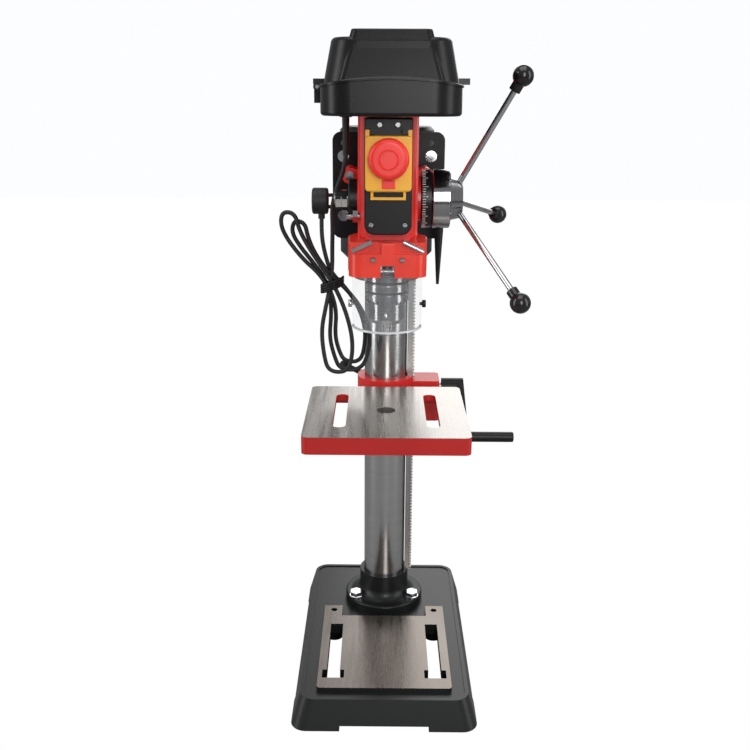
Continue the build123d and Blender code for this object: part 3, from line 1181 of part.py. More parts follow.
# Bearing for the sleeve, in the head's top.
with BuildPart() as sleeve_bearing:
    rod_z(0, SPINDLE_Y, HEAD_TOP - BEARING_WIDTH, HEAD_TOP, SLEEVE_RADIUS + 7)
    rod_z(0, SPINDLE_Y, HEAD_TOP - BEARING_WIDTH, HEAD_TOP, SLEEVE_RADIUS + SHAFT_GAP, Mode.SUBTRACT)
sleeve_bearing.part.label = "sleeve_bearing"
export_step(sleeve_bearing.part, "parts/sleeve_bearing.step")

# Motor pulley, smallest step at the bottom.
with BuildPart() as motor_pulley:
    with BuildSketch(Plane.XZ.offset(-MOTOR_Y)):
        Polygon(*pulley_profile(step_radii(False)), align=None)
    revolve(axis=Axis((0, MOTOR_Y, 0), (0, 0, 1)))
    rod_z(0, MOTOR_Y, PULLEY_BOTTOM, SPINDLE_TOP, MOTOR_SHAFT_RADIUS, Mode.SUBTRACT)
motor_pulley.part.label = "motor_pulley"
export_step(motor_pulley.part, "parts/motor_pulley.step")

# V belt on the middle steps.
belt_middle = PULLEY_BOTTOM + (BELT_STEP + 0.5) * STEP_HEIGHT
belt_inner = GROOVE_DEPTH / 2 - FACE_GAP
belt_ends = ((SPINDLE_Y, step_radii(True)[BELT_STEP]), (MOTOR_Y, step_radii(False)[BELT_STEP]))


def belt_loop(offset):
    """The area inside a belt line at this distance from the belt radii."""
    with BuildSketch(Plane.XY.offset(belt_middle - BELT_WIDTH / 2)) as loop:
        with BuildSketch(mode=Mode.PRIVATE) as ends:
            for end_y, radius in belt_ends:
                with Locations((0, end_y)):
                    Circle(radius + offset)
        make_hull(ends.sketch.edges())
    return loop.sketch


with BuildPart() as drive_belt:
    extrude(belt_loop(BELT_THICKNESS - belt_inner), amount=BELT_WIDTH)
    extrude(belt_loop(-belt_inner), amount=BELT_WIDTH, mode=Mode.SUBTRACT)
    chamfer(
        [edge for face in drive_belt.faces().filter_by(Axis.Z) for edge in face.inner_wires()[0].edges()],
        1.5,
    )
drive_belt.part.label = "drive_belt"
export_step(drive_belt.part, "parts/drive_belt.step")

# ------------------------------------------------------------------ motor group

# Motor housing: a closed shell with bevelled ends.
with BuildPart() as motor_housing:
    rod_z(0, MOTOR_Y, MOTOR_BOTTOM, MOTOR_TOP, MOTOR_RADIUS)
    chamfer(motor_housing.edges().group_by(Axis.Z)[0], MOTOR_BEVEL)
    chamfer(motor_housing.edges().group_by(Axis.Z)[-1], MOTOR_BEVEL / 3)
    block(
        -STATOR_RADIUS, STATOR_RADIUS, PLATE_FRONT + PLATE_THICKNESS, MOTOR_Y,
        MOTOR_FOOT_Z[0] - MOTOR_FOOT_RADIUS, MOTOR_FOOT_Z[1] + MOTOR_FOOT_RADIUS,
    )
    for foot_z in MOTOR_FOOT_Z:
        block(
            -MOTOR_FOOT_X - MOTOR_FOOT_RADIUS, MOTOR_FOOT_X + MOTOR_FOOT_RADIUS,
            PLATE_FRONT + PLATE_THICKNESS, PLATE_FRONT + 2.5 * PLATE_THICKNESS,
            foot_z - MOTOR_FOOT_RADIUS, foot_z + MOTOR_FOOT_RADIUS,
        )
    inside = STATOR_RADIUS
    rod_z(0, MOTOR_Y, MOTOR_BOTTOM + MOTOR_BEVEL, MOTOR_TOP - MOTOR_BEVEL, inside, Mode.SUBTRACT)
    rod_z(0, MOTOR_Y, MOTOR_BOTTOM + MOTOR_WALL, MOTOR_TOP, MOTOR_SHAFT_RADIUS + SHAFT_GAP, Mode.SUBTRACT)
    for side in (-1, 1):
        for foot_z in MOTOR_FOOT_Z:
            rod_y(
                side * MOTOR_FOOT_X, PLATE_FRONT + PLATE_THICKNESS, PLATE_FRONT + 2.5 * PLATE_THICKNESS,
                foot_z, 4, Mode.SUBTRACT,
            )
motor_housing.part.label = "motor_housing"
export_step(motor_housing.part, "parts/motor_housing.step")

# Stator ring and rotor with its shaft.
stator_bottom = MOTOR_BOTTOM + 3 * MOTOR_BEVEL
stator_top = MOTOR_TOP - 3 * MOTOR_BEVEL
with BuildPart() as motor_stator:
    rod_z(0, MOTOR_Y, stator_bottom, stator_top, STATOR_RADIUS)
    rod_z(0, MOTOR_Y, stator_bottom, stator_top, ROTOR_RADIUS + COVER_GAP, Mode.SUBTRACT)
motor_stator.part.label = "motor_stator"
export_step(motor_stator.part, "parts/motor_stator.step")
with BuildPart() as motor_rotor:
    rod_z(0, MOTOR_Y, stator_bottom, stator_top, ROTOR_RADIUS)
    shaft_bottom = MOTOR_BOTTOM + MOTOR_WALL + FACE_GAP
    rod_z(0, MOTOR_Y, shaft_bottom, PULLEY_BOTTOM + STEP_COUNT * STEP_HEIGHT, MOTOR_SHAFT_RADIUS)
motor_rotor.part.label = "motor_rotor"
export_step(motor_rotor.part, "parts/motor_rotor.step")

# Plate between the motor and its slide rods.
plate_mid_x = (PLATE_LEFT + PLATE_RIGHT) / 2
with BuildPart() as motor_plate:
    with BuildSketch(Plane.XZ.offset(-PLATE_FRONT - PLATE_THICKNESS)):
        with Locations((plate_mid_x, (PLATE_BOTTOM + PLATE_TOP) / 2)):
            RectangleRounded(PLATE_RIGHT - PLATE_LEFT, PLATE_TOP - PLATE_BOTTOM, PLATE_CORNER)
        for side in (-1, 1):
            for foot_z in MOTOR_FOOT_Z:
                with Locations((side * MOTOR_FOOT_X, foot_z)):
                    Circle(4, mode=Mode.SUBTRACT)
            with Locations((side * MOTOR_FOOT_X, MOTOR_FOOT_Z[1] + 18)):
                Circle(PLATE_SLOT / 2, mode=Mode.SUBTRACT)
            with Locations((side * ROD_X, ROD_Z)):
                Circle(ROD_RADIUS, mode=Mode.SUBTRACT)
    extrude(amount=PLATE_THICKNESS)
motor_plate.part.label = "motor_plate"
export_step(motor_plate.part, "parts/motor_plate.step")

# Four bolts through the plate into the motor's feet.
motor_screw = hex_screw(4, 2.5 * PLATE_THICKNESS, 13.0, 5.3, 1.6)
with BuildPart() as motor_bolts:
    for side in (-1, 1):
        for foot_z in MOTOR_FOOT_Z:
            with Locations(Location((side * MOTOR_FOOT_X, PLATE_FRONT, foot_z), (90, 0, 0))):
                add(motor_screw)
motor_bolts.part.label = "motor_bolts"
export_step(motor_bolts.part, "parts/motor_bolts.step")

# Two rods fixed in the plate that slide in the head's lugs.
with BuildPart() as slide_rods:
    for side in (-1, 1):
        rod_y(side * ROD_X, ROD_LUG_FRONT - 2, PLATE_FRONT + PLATE_THICKNESS, ROD_Z, ROD_RADIUS)
slide_rods.part.label = "slide_rods"
export_step(slide_rods.part, "parts/slide_rods.step")

# Tapered tension lever: a round hub on its shaft and a conical handle that hangs from it.
with BuildPart() as tension_lever:
    rod_x(
        LEVER_X - LEVER_THICKNESS / 2, LEVER_X + LEVER_THICKNESS / 2, LEVER_PIVOT_Y, LEVER_PIVOT_Z,
        LEVER_WIDTH / 2,
    )
    with Locations((LEVER_X, LEVER_PIVOT_Y, LEVER_TIP_Z)):
        Cone(
            LEVER_TIP_WIDTH / 2, LEVER_ROOT_WIDTH / 2, LEVER_PIVOT_Z - LEVER_ROOT_WIDTH / 2 - LEVER_TIP_Z,
            align=(Align.CENTER, Align.CENTER, Align.MIN),
        )
    rod_x(
        COLUMN_RADIUS + HEAD_WALL + 6, LEVER_X, LEVER_PIVOT_Y, LEVER_PIVOT_Z, LEVER_SHAFT_RADIUS,
    )
tension_lever.part.label = "tension_lever"
export_step(tension_lever.part, "parts/tension_lever.step")

# ------------------------------------------------------------------ switch

# Switch box: an open-backed shell against the head's front, round at its lower end.
switch_middle = (SWITCH_BOTTOM + SWITCH_TOP) / 2
button_hole = (BUTTON_WIDTH + 2 * FACE_GAP, BUTTON_HEIGHT + 2 * FACE_GAP)
with BuildPart() as switch_box:
    with BuildSketch(Plane.XZ.offset(-HEAD_FRONT)) as box_face:
        with Locations((0, switch_middle)):
            Rectangle(2 * SWITCH_HALF, SWITCH_TOP - SWITCH_BOTTOM)
        fillet(box_face.vertices().group_by(Axis.Y)[0], SWITCH_ROUND)
        fillet(box_face.vertices().group_by(Axis.Y)[-1], 2.0)
    extrude(amount=HEAD_FRONT - SWITCH_FRONT)
    fillet(switch_box.faces().sort_by(Axis.Y)[0].edges(), 2.0)
    with BuildSketch(Plane.XZ.offset(-HEAD_FRONT)) as box_room:
        with Locations((0, switch_middle)):
            Rectangle(2 * (SWITCH_HALF - SWITCH_WALL), SWITCH_TOP - SWITCH_BOTTOM - 2 * SWITCH_WALL)
        fillet(box_room.vertices().group_by(Axis.Y)[0], SWITCH_ROUND - SWITCH_WALL)
    extrude(amount=HEAD_FRONT - SWITCH_FRONT - SWITCH_WALL, mode=Mode.SUBTRACT)
    for button_z in (START_Z, STOP_Z):
        block(
            -button_hole[0] / 2, button_hole[0] / 2, SWITCH_FRONT, HEAD_FRONT,
            button_z - button_hole[1] / 2, button_z + button_hole[1] / 2, Mode.SUBTRACT,
        )
    for side in (-1, 1):
        hinge_lug = sorted((side * (FLAP_HALF - 5), side * (FLAP_HALF - 11)))
        block(
            hinge_lug[0], hinge_lug[1], SWITCH_FRONT - 7, SWITCH_FRONT + SWITCH_WALL / 2,
            FLAP_HINGE_Z - 2.8, FLAP_HINGE_Z + 2.8,
        )
        rod_x(
            hinge_lug[0], hinge_lug[1], SWITCH_FRONT - 3.5, FLAP_HINGE_Z, 1.5 + SHAFT_GAP, Mode.SUBTRACT,
        )
switch_box.part.label = "switch_box"
export_step(switch_box.part, "parts/switch_box.step")

# Start and stop buttons, each held behind the face by a flange.
for button_name, button_z in (("start_button", START_Z), ("stop_button", STOP_Z)):
    with BuildPart() as button:
        block(
            -BUTTON_WIDTH / 2, BUTTON_WIDTH / 2, SWITCH_FRONT - BUTTON_RISE, SWITCH_FRONT + 8,
            button_z - BUTTON_HEIGHT / 2, button_z + BUTTON_HEIGHT / 2,
        )
        fillet(button.faces().sort_by(Axis.Y)[0].edges(), 1.2)
        block(
            -BUTTON_WIDTH / 2 - 2, BUTTON_WIDTH / 2 + 2, SWITCH_FRONT + SWITCH_WALL + FACE_GAP,
            SWITCH_FRONT + 8, button_z - BUTTON_HEIGHT / 2 - 1.5, button_z + BUTTON_HEIGHT / 2 + 1.5,
        )
    button.part.label = button_name
    export_step(button.part, f"parts/{button_name}.step")

# Yellow flap over the buttons: a tray with hinge ears at the top and a thumb loop below.
flap_front = SWITCH_FRONT - COVER_GAP - FLAP_DEPTH
flap_back = SWITCH_FRONT - COVER_GAP
with BuildPart() as stop_flap:
    with BuildSketch(Plane.XZ.offset(-flap_back)):
        with Locations((0, (FLAP_BOTTOM + FLAP_TOP) / 2)):
            RectangleRounded(2 * FLAP_HALF, FLAP_TOP - FLAP_BOTTOM, 4)
    extrude(amount=FLAP_DEPTH)
    fillet(stop_flap.faces().sort_by(Axis.Y)[0].edges(), 1.8)
    block(
        -FLAP_HALF + FLAP_WALL, FLAP_HALF - FLAP_WALL, flap_front + FLAP_WALL, flap_back,
        FLAP_BOTTOM + FLAP_WALL, FLAP_TOP - FLAP_WALL, Mode.SUBTRACT,
    )
    for side in (-1, 1):
        ear = sorted((side * (FLAP_HALF - 4.5), side * FLAP_HALF))
        block(ear[0], ear[1], flap_back - 6.5, flap_back, FLAP_TOP - 6, FLAP_HINGE_Z + 1.7)
        pivot = sorted((side * (FLAP_HALF - 11), side * (FLAP_HALF - 2)))
        rod_x(pivot[0], pivot[1], SWITCH_FRONT - 3.5, FLAP_HINGE_Z, 1.5)
    with BuildSketch(Plane.XZ.offset(-flap_back + 3)):
        with Locations((0, FLAP_BOTTOM + 1)):
            Rectangle(
                2 * FLAP_LOOP_HALF, FLAP_BOTTOM + 1 - FLAP_LOOP_BOTTOM, align=(Align.CENTER, Align.MAX),
            )
        with Locations((0, FLAP_BOTTOM - 1)):
            Rectangle(2 * FLAP_LOOP_HALF - 6, 6, align=(Align.CENTER, Align.MAX), mode=Mode.SUBTRACT)
    extrude(amount=4)
    rod_y(0, flap_front - 1, flap_front + FLAP_WALL + 1, MUSHROOM_Z, MUSHROOM_STEM + FACE_GAP, Mode.SUBTRACT)
stop_flap.part.label = "stop_flap"
export_step(stop_flap.part, "parts/stop_flap.step")

# Red mushroom on a stem through the flap, held by a flange inside.
mushroom_back = flap_front - MUSHROOM_TRAVEL - COVER_GAP
with BuildPart() as stop_mushroom:
    rod_y(0, mushroom_back - MUSHROOM_HEIGHT, mushroom_back, MUSHROOM_Z, MUSHROOM_RADIUS)
    fillet(stop_mushroom.edges().group_by(Axis.Y)[0], 6.0)
    fillet(stop_mushroom.edges().group_by(Axis.Y)[-1], 1.5)
    rod_y(0, mushroom_back - 1, flap_front + FLAP_WALL + 2, MUSHROOM_Z, MUSHROOM_STEM)
    rod_y(
        0, flap_front + FLAP_WALL + FACE_GAP, flap_front + FLAP_WALL + 2, MUSHROOM_Z, MUSHROOM_STEM + 2,
    )
stop_mushroom.part.label = "stop_mushroom"
export_step(stop_mushroom.part, "parts/stop_mushroom.step")

# ------------------------------------------------------------------ chuck guard

# Guard holder: a red cup under the head with a flat front, two pockets and a bridge.
with BuildPart() as guard_holder:
    rod_z(0, SPINDLE_Y, GUARD_BOTTOM, GUARD_TOP, GUARD_RADIUS)
    block(-GUARD_FRONT_HALF, GUARD_FRONT_HALF, GUARD_FRONT, SPINDLE_Y, GUARD_BOTTOM, GUARD_TOP)
    fillet(guard_holder.edges().filter_by(Axis.Z).group_by(Axis.Y)[0], GUARD_CORNER)
    fillet(guard_holder.faces().sort_by(Axis.Z)[-1].edges(), 2.0)
    rod_z(
        0, SPINDLE_Y, GUARD_BOTTOM, GUARD_TOP - GUARD_TOP_WALL, GUARD_RADIUS - GUARD_WALL, Mode.SUBTRACT,
    )
    rod_z(0, SPINDLE_Y, GUARD_BOTTOM, GUARD_TOP, QUILL_RADIUS + 3, Mode.SUBTRACT)
    for side in (-1, 1):
        pocket = sorted((side * GUARD_BRIDGE_HALF, side * (GUARD_FRONT_HALF + 2)))
        block(
            pocket[0], pocket[1], GUARD_FRONT, GUARD_FRONT + GUARD_POCKET_DEPTH,
            GUARD_POCKET_BOTTOM, GUARD_TOP, Mode.SUBTRACT,
        )
    block(
        -GUARD_RECESS_HALF, GUARD_RECESS_HALF, GUARD_FRONT, SPINDLE_Y,
        GUARD_BOTTOM, GUARD_RECESS_TOP, Mode.SUBTRACT,
    )
guard_holder.part.label = "guard_holder"
export_step(guard_holder.part, "parts/guard_holder.step")

# Clear half-round shield with a hinge tab that fits the holder's recess.
shield_top = GUARD_BOTTOM - FACE_GAP
tab_half = GUARD_RECESS_HALF - FACE_GAP
with BuildPart() as clear_shield:
    rod_z(0, SPINDLE_Y, SHIELD_BOTTOM, shield_top, SHIELD_RADIUS)
    rod_z(0, SPINDLE_Y, SHIELD_BOTTOM, shield_top, SHIELD_RADIUS - SHIELD_WALL, Mode.SUBTRACT)
    block(
        -2 * SHIELD_RADIUS, 2 * SHIELD_RADIUS, SPINDLE_Y, SPINDLE_Y + 2 * SHIELD_RADIUS,
        SHIELD_BOTTOM, shield_top, Mode.SUBTRACT,
    )
    block(
        -tab_half, tab_half, SHIELD_HINGE_Y - 2, SPINDLE_Y - SHIELD_RADIUS + SHIELD_WALL,
        shield_top - 12, shield_top,
    )
    block(
        -tab_half, tab_half, SHIELD_HINGE_Y - 2, SHIELD_HINGE_Y + 2.5, shield_top - 12, SHIELD_HINGE_Z + 2.5,
    )
    rod_x(-tab_half, tab_half, *SHIELD_PIN, SHIELD_PIN_RADIUS + SHAFT_GAP, Mode.SUBTRACT)
clear_shield.part.label = "clear_shield"
export_step(clear_shield.part, "parts/clear_shield.step")

# Thumb screw at the shield's right.
screw_angle = math.radians(35)
with BuildPart() as shield_screw:
    thumb = Plane(
        (SHIELD_RADIUS * math.cos(screw_angle), SPINDLE_Y - SHIELD_RADIUS * math.sin(screw_angle), 530),
        z_dir=(math.cos(screw_angle), -math.sin(screw_angle), 0),
    )
    with Locations(thumb):
        Cylinder(6.5, 8, align=(Align.CENTER, Align.CENTER, Align.MIN))
shield_screw.part.label = "shield_screw"
export_step(shield_screw.part, "parts/shield_screw.step")

# Two hollow steel levers that lie in the holder's pockets.
with BuildPart() as guard_levers:
    for side in (-1, 1):
        tilt = 90 + GUARD_LEVER_SLOPE
        lever_place = (side * GUARD_LEVER_X, GUARD_FRONT + 2.8, GUARD_LEVER_Z)
        with Locations(Location(lever_place, (0, side * tilt, 0))):
            Cylinder(GUARD_LEVER_RADIUS, GUARD_LEVER_LENGTH)
            Cylinder(GUARD_LEVER_RADIUS * 0.5, GUARD_LEVER_LENGTH, mode=Mode.SUBTRACT)
guard_levers.part.label = "guard_levers"
export_step(guard_levers.part, "parts/guard_levers.step")

# Small cross-head screws: four on the switch box, two on the guard holder.
cover_screw = pan_screw(1.6, 2.4, 3.4, 2.2)
with BuildPart() as cover_screws:
    screw_places = [
        (side * x, front, z)
        for x, front, z in (
            (SWITCH_HALF - 8, SWITCH_FRONT, SWITCH_BOTTOM + 12),
            (FLAP_HALF - 16, SWITCH_FRONT, FLAP_HINGE_Z + 7),
            (17, GUARD_FRONT, GUARD_POCKET_BOTTOM - 6),
        )
        for side in (-1, 1)
    ]
    with Locations(*[Location(place, (90, 0, 0)) for place in screw_places]):
        add(cover_screw)
cover_screws.part.label = "cover_screws"
export_step(cover_screws.part, "parts/cover_screws.step")

# ------------------------------------------------------------------ cords

# Rubber boot under the tub.
with BuildPart() as cord_boot:
    with BuildSketch(Plane.XZ.offset(-BOOT_Y)):
        Polygon(
            (BOOT_X, BOOT_BOTTOM), (BOOT_X + CORD_RADIUS + 0.8, BOOT_BOTTOM),
            (BOOT_X + BOOT_RADIUS, TUB_BOTTOM - 4), (BOOT_X + BOOT_RADIUS + 3, TUB_BOTTOM - 4),
            (BOOT_X + BOOT_RADIUS + 3, TUB_BOTTOM), (BOOT_X + BOOT_RADIUS, TUB_BOTTOM),
            (BOOT_X + BOOT_RADIUS, TUB_BOTTOM + TUB_WALL), (BOOT_X, TUB_BOTTOM + TUB_WALL), align=None,
        )
    revolve(axis=Axis((BOOT_X, BOOT_Y, 0), (0, 0, 1)))
cord_boot.part.label = "cord_boot"
export_step(cord_boot.part, "parts/cord_boot.step")

# The lead's route from the boot to the hank's tie, and the plug's lead up from it.
LEAD_ROUTE = [
    (-52, -46, 704), (-54.5, -46, 686), (-64, -41, 664), (-70.5, -34, 640), (-70, -28, 612),
    (-72, -23, 586), (-71, -22, 566),
]
PLUG_ROUTE = [
    (-86, 4, 620), (-86.5, 3, 604), (-85, 0, 588), (-80.5, -6, 572), (-76, -15, 558),
]


def bend_radii(route):
    """The largest arc that fits at each inner point of a route."""
    radii = []
    for before, here, after in zip(route, route[1:], route[2:]):
        arrive = Vector(*here) - Vector(*before)
        leave = Vector(*after) - Vector(*here)
        half_turn = math.radians(arrive.get_angle(leave)) / 2
        radii.append(0.45 * min(arrive.length, leave.length) / math.tan(half_turn))
    return radii


def cord_tube(route, radius):
    """A round cord along straight runs joined by tangent arcs."""
    radii = bend_radii(route)
    with BuildPart() as tube:
        with BuildLine() as path:
            FilletPolyline(*route, radius=radii)
        with BuildSketch(Plane(route[0], z_dir=Vector(*route[1]) - Vector(*route[0]))):
            Circle(radius)
        sweep(path=path.wires()[0])
    length = sum(edge.length for edge in path.edges())
    print("bend radii", [round(value, 1) for value in radii], "length", round(length, 1))
    return tube.part


# Both loose ends of the one cord: down from the boot, and up to the plug.
lead_pieces = [cord_tube(route, CORD_RADIUS) for route in (LEAD_ROUTE, PLUG_ROUTE)]
with BuildPart() as mains_lead:
    add(lead_pieces)
mains_lead.part.label = "mains_lead"
export_step(mains_lead.part, "parts/mains_lead.step")

# Hank of the tied cord: two lobes that meet at the tie.
HANK_LOBES = (
    (((-74, 538), 13), ((-60, 448), 27), ((-47, 456), 27)),
    (((-77, 545), 12), ((-101, 586), 13), ((-117, 614), 16)),
)
with BuildPart() as cord_hank:
    for lobe in HANK_LOBES:
        with BuildSketch(Plane.XZ.offset(-HANK_Y - HANK_THICKNESS / 2)):
            with BuildSketch(mode=Mode.PRIVATE) as lobe_ends:
                for centre, radius in lobe:
                    with Locations(centre):
                        Circle(radius)
            make_hull(lobe_ends.sketch.edges())
        extrude(amount=HANK_THICKNESS)
cord_hank.part.label = "cord_hank"
export_step(cord_hank.part, "parts/cord_hank.step")

# Round mains plug with two pins.
PLUG_Y = 4.0
PLUG_Z = 643.0
PLUG_BACK = -98.0
PLUG_FACE = -77.0
with BuildPart() as mains_plug:
    rod_x(PLUG_BACK, PLUG_FACE, PLUG_Y, PLUG_Z, 17)
    fillet(mains_plug.edges().filter_by(GeomType.CIRCLE), 3.0)
    with BuildSketch(Plane.XY.offset(PLUG_ROUTE[0][2])):
        with Locations(PLUG_ROUTE[0][:2]):
            Circle(CORD_RADIUS + 1.5)
    extrude(amount=PLUG_Z - PLUG_ROUTE[0][2])
    for pin in (-1, 1):
        rod_x(PLUG_FACE - 2, PLUG_FACE + 19, PLUG_Y + pin * 6.8, PLUG_Z + pin * 6.8, 2.4)
mains_plug.part.label = "mains_plug"
export_step(mains_plug.part, "parts/mains_plug.step")
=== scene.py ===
# %% [markdown]
# # A bench drill press
# The machine's frame, joints and sizes come from a imported model. This lesson gives it its finish:
# paint, steel, plastic, a cord with its real length, and the small repeated details.
# The imported box is measured and printed.

# %% Load the frame
import math
import bmesh
import bpy
from mathutils import Euler, Matrix, Vector


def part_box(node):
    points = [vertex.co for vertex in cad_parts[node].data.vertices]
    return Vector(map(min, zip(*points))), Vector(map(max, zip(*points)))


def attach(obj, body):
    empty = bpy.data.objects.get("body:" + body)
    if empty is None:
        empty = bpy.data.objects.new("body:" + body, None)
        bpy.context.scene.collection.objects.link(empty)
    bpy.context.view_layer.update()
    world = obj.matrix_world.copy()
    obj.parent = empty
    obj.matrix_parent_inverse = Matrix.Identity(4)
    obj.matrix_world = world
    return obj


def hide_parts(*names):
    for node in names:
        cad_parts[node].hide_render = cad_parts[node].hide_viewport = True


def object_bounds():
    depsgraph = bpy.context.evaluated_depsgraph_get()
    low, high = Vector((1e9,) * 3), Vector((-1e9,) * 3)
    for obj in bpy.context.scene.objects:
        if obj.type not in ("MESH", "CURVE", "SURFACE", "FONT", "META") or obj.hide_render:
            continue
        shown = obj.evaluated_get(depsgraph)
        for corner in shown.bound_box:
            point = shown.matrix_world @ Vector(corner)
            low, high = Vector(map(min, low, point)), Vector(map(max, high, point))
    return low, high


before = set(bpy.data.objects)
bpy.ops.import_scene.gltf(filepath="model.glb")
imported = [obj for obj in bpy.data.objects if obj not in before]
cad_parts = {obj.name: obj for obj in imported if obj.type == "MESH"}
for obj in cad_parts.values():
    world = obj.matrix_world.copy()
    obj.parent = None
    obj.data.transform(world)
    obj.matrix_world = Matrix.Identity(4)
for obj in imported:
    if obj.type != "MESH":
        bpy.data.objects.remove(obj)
cad_low, cad_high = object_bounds()
print("packed box", [round(value, 3) for value in (*cad_low, *cad_high)])

# %% [markdown]
# ## Camera
# The machine is seen from a little above its belt housing, in front of its work side.
# The lens is close to a normal one. The camera stands where the eye would, and is turned down
# instead of shifted, which keeps the column's slight taper towards the base in the picture.

# %% Camera
CAMERA_PLACE = (-0.0082, -1.2432, 0.7796)
CAMERA_DOWN = 16.675
CAMERA_LEFT = 0.309
CAMERA_ROLL = 0.283
LENS = 45.36
SENSOR_WIDTH = 36.0
NEAREST_SEEN = 0.01

camera_data = bpy.data.cameras.new("camera")
camera_data.lens = LENS
camera_data.sensor_width = SENSOR_WIDTH
camera_data.clip_start = NEAREST_SEEN
camera = bpy.data.objects.new("camera", camera_data)
bpy.context.scene.collection.objects.link(camera)
turn = (
    Euler((math.radians(90 - CAMERA_DOWN), 0, math.radians(CAMERA_LEFT))).to_matrix()
    @ Matrix.Rotation(math.radians(CAMERA_ROLL), 3, "Z")
)
camera.matrix_world = Matrix.Translation(CAMERA_PLACE) @ turn.to_4x4()
bpy.context.scene.camera = camera
print("camera at", CAMERA_PLACE)

# %% [markdown]
# ## Floor and light
# A plain pale floor and large soft lamps show paint and chrome without hard shadows.
# A lamp stands at the left, the right, the front and the rear, and one hangs above. The world is
# white where the camera sees it, but dimmer in reflections, so that steel keeps its dark streaks.

# %% Floor and light
FLOOR_SIZE = 12.0
FLOOR_GAP = 0.0005
floor_mesh = bpy.data.meshes.new("floor")
half = FLOOR_SIZE / 2
floor_mesh.from_pydata(
    [(-half, -half, 0), (half, -half, 0), (half, half, 0), (-half, half, 0)], [], [(0, 1, 2, 3)]
)
floor = bpy.data.objects.new("floor", floor_mesh)
floor.location.z = cad_low[2] - FLOOR_GAP
bpy.context.scene.collection.objects.link(floor)

LAMPS_AIM = Vector((0, 0, 0.45))
LAMPS = (
    ("left_lamp", (-1.5, -0.5, 0.9), (0.5, 1.9), 11),
    ("right_lamp", (1.6, -0.7, 0.9), (0.6, 1.9), 11),
    ("top_lamp", (0.0, -0.3, 2.2), (1.4, 1.4), 14),
    ("front_lamp", (0.35, -2.3, 1.2), (0.6, 1.4), 19),
    ("rear_lamp", (0.4, 1.8, 1.3), (1.2, 1.2), 10),
)
for lamp_name, place, (width, height), power in LAMPS:
    lamp_data = bpy.data.lights.new(lamp_name, "AREA")
    lamp_data.shape = "RECTANGLE"
    lamp_data.size = width
    lamp_data.size_y = height
    lamp_data.energy = power
    lamp = bpy.data.objects.new(lamp_name, lamp_data)
    lamp.location = place
    lamp.rotation_euler = (LAMPS_AIM - Vector(place)).to_track_quat("-Z", "Y").to_euler()
    bpy.context.scene.collection.objects.link(lamp)

BACKDROP = 1.0
ROOM = 0.34
DAYLIGHT = (0.98, 0.985, 1.0, 1)
world = bpy.data.worlds.new("studio")
world.use_nodes = True
world_nodes = world.node_tree.nodes
seen = world_nodes.new("ShaderNodeLightPath")
level = world_nodes.new("ShaderNodeMapRange")
level.inputs["To Min"].default_value = ROOM
level.inputs["To Max"].default_value = BACKDROP
world.node_tree.links.new(seen.outputs["Is Camera Ray"], level.inputs["Value"])
world.node_tree.links.new(level.outputs["Result"], world_nodes["Background"].inputs["Strength"])
world_nodes["Background"].inputs["Color"].default_value = DAYLIGHT
bpy.context.scene.world = world
bpy.context.scene.view_settings.view_transform = "Standard"
print("lamps", len(LAMPS))

# %% [markdown]
# ## Shader maths as expressions
# A finish is easier to read as arithmetic than as a web of nodes. `Term` wraps one socket and
# overloads the operators, and each operation adds one Math node. `Finish` starts a material and
# makes any other node with one method.

# %% Terms and finishes
NOISE_LOW, NOISE_HIGH = 0.3, 0.7


class Term:
    """One value in a material, which can be added, multiplied and so on."""

    def __init__(self, finish, socket):
        self.finish = finish
        self.socket = socket

    def _math(self, operation, first, second):
        return self.finish.make("ShaderNodeMath", {"operation": operation}, {0: first, 1: second})

    def __add__(self, other):
        return self._math("ADD", self, other)

    def __radd__(self, other):
        return self._math("ADD", other, self)

    def __sub__(self, other):
        return self._math("SUBTRACT", self, other)

    def __rsub__(self, other):
        return self._math("SUBTRACT", other, self)

    def __mul__(self, other):
        return self._math("MULTIPLY", self, other)

    def __rmul__(self, other):
        return self._math("MULTIPLY", other, self)


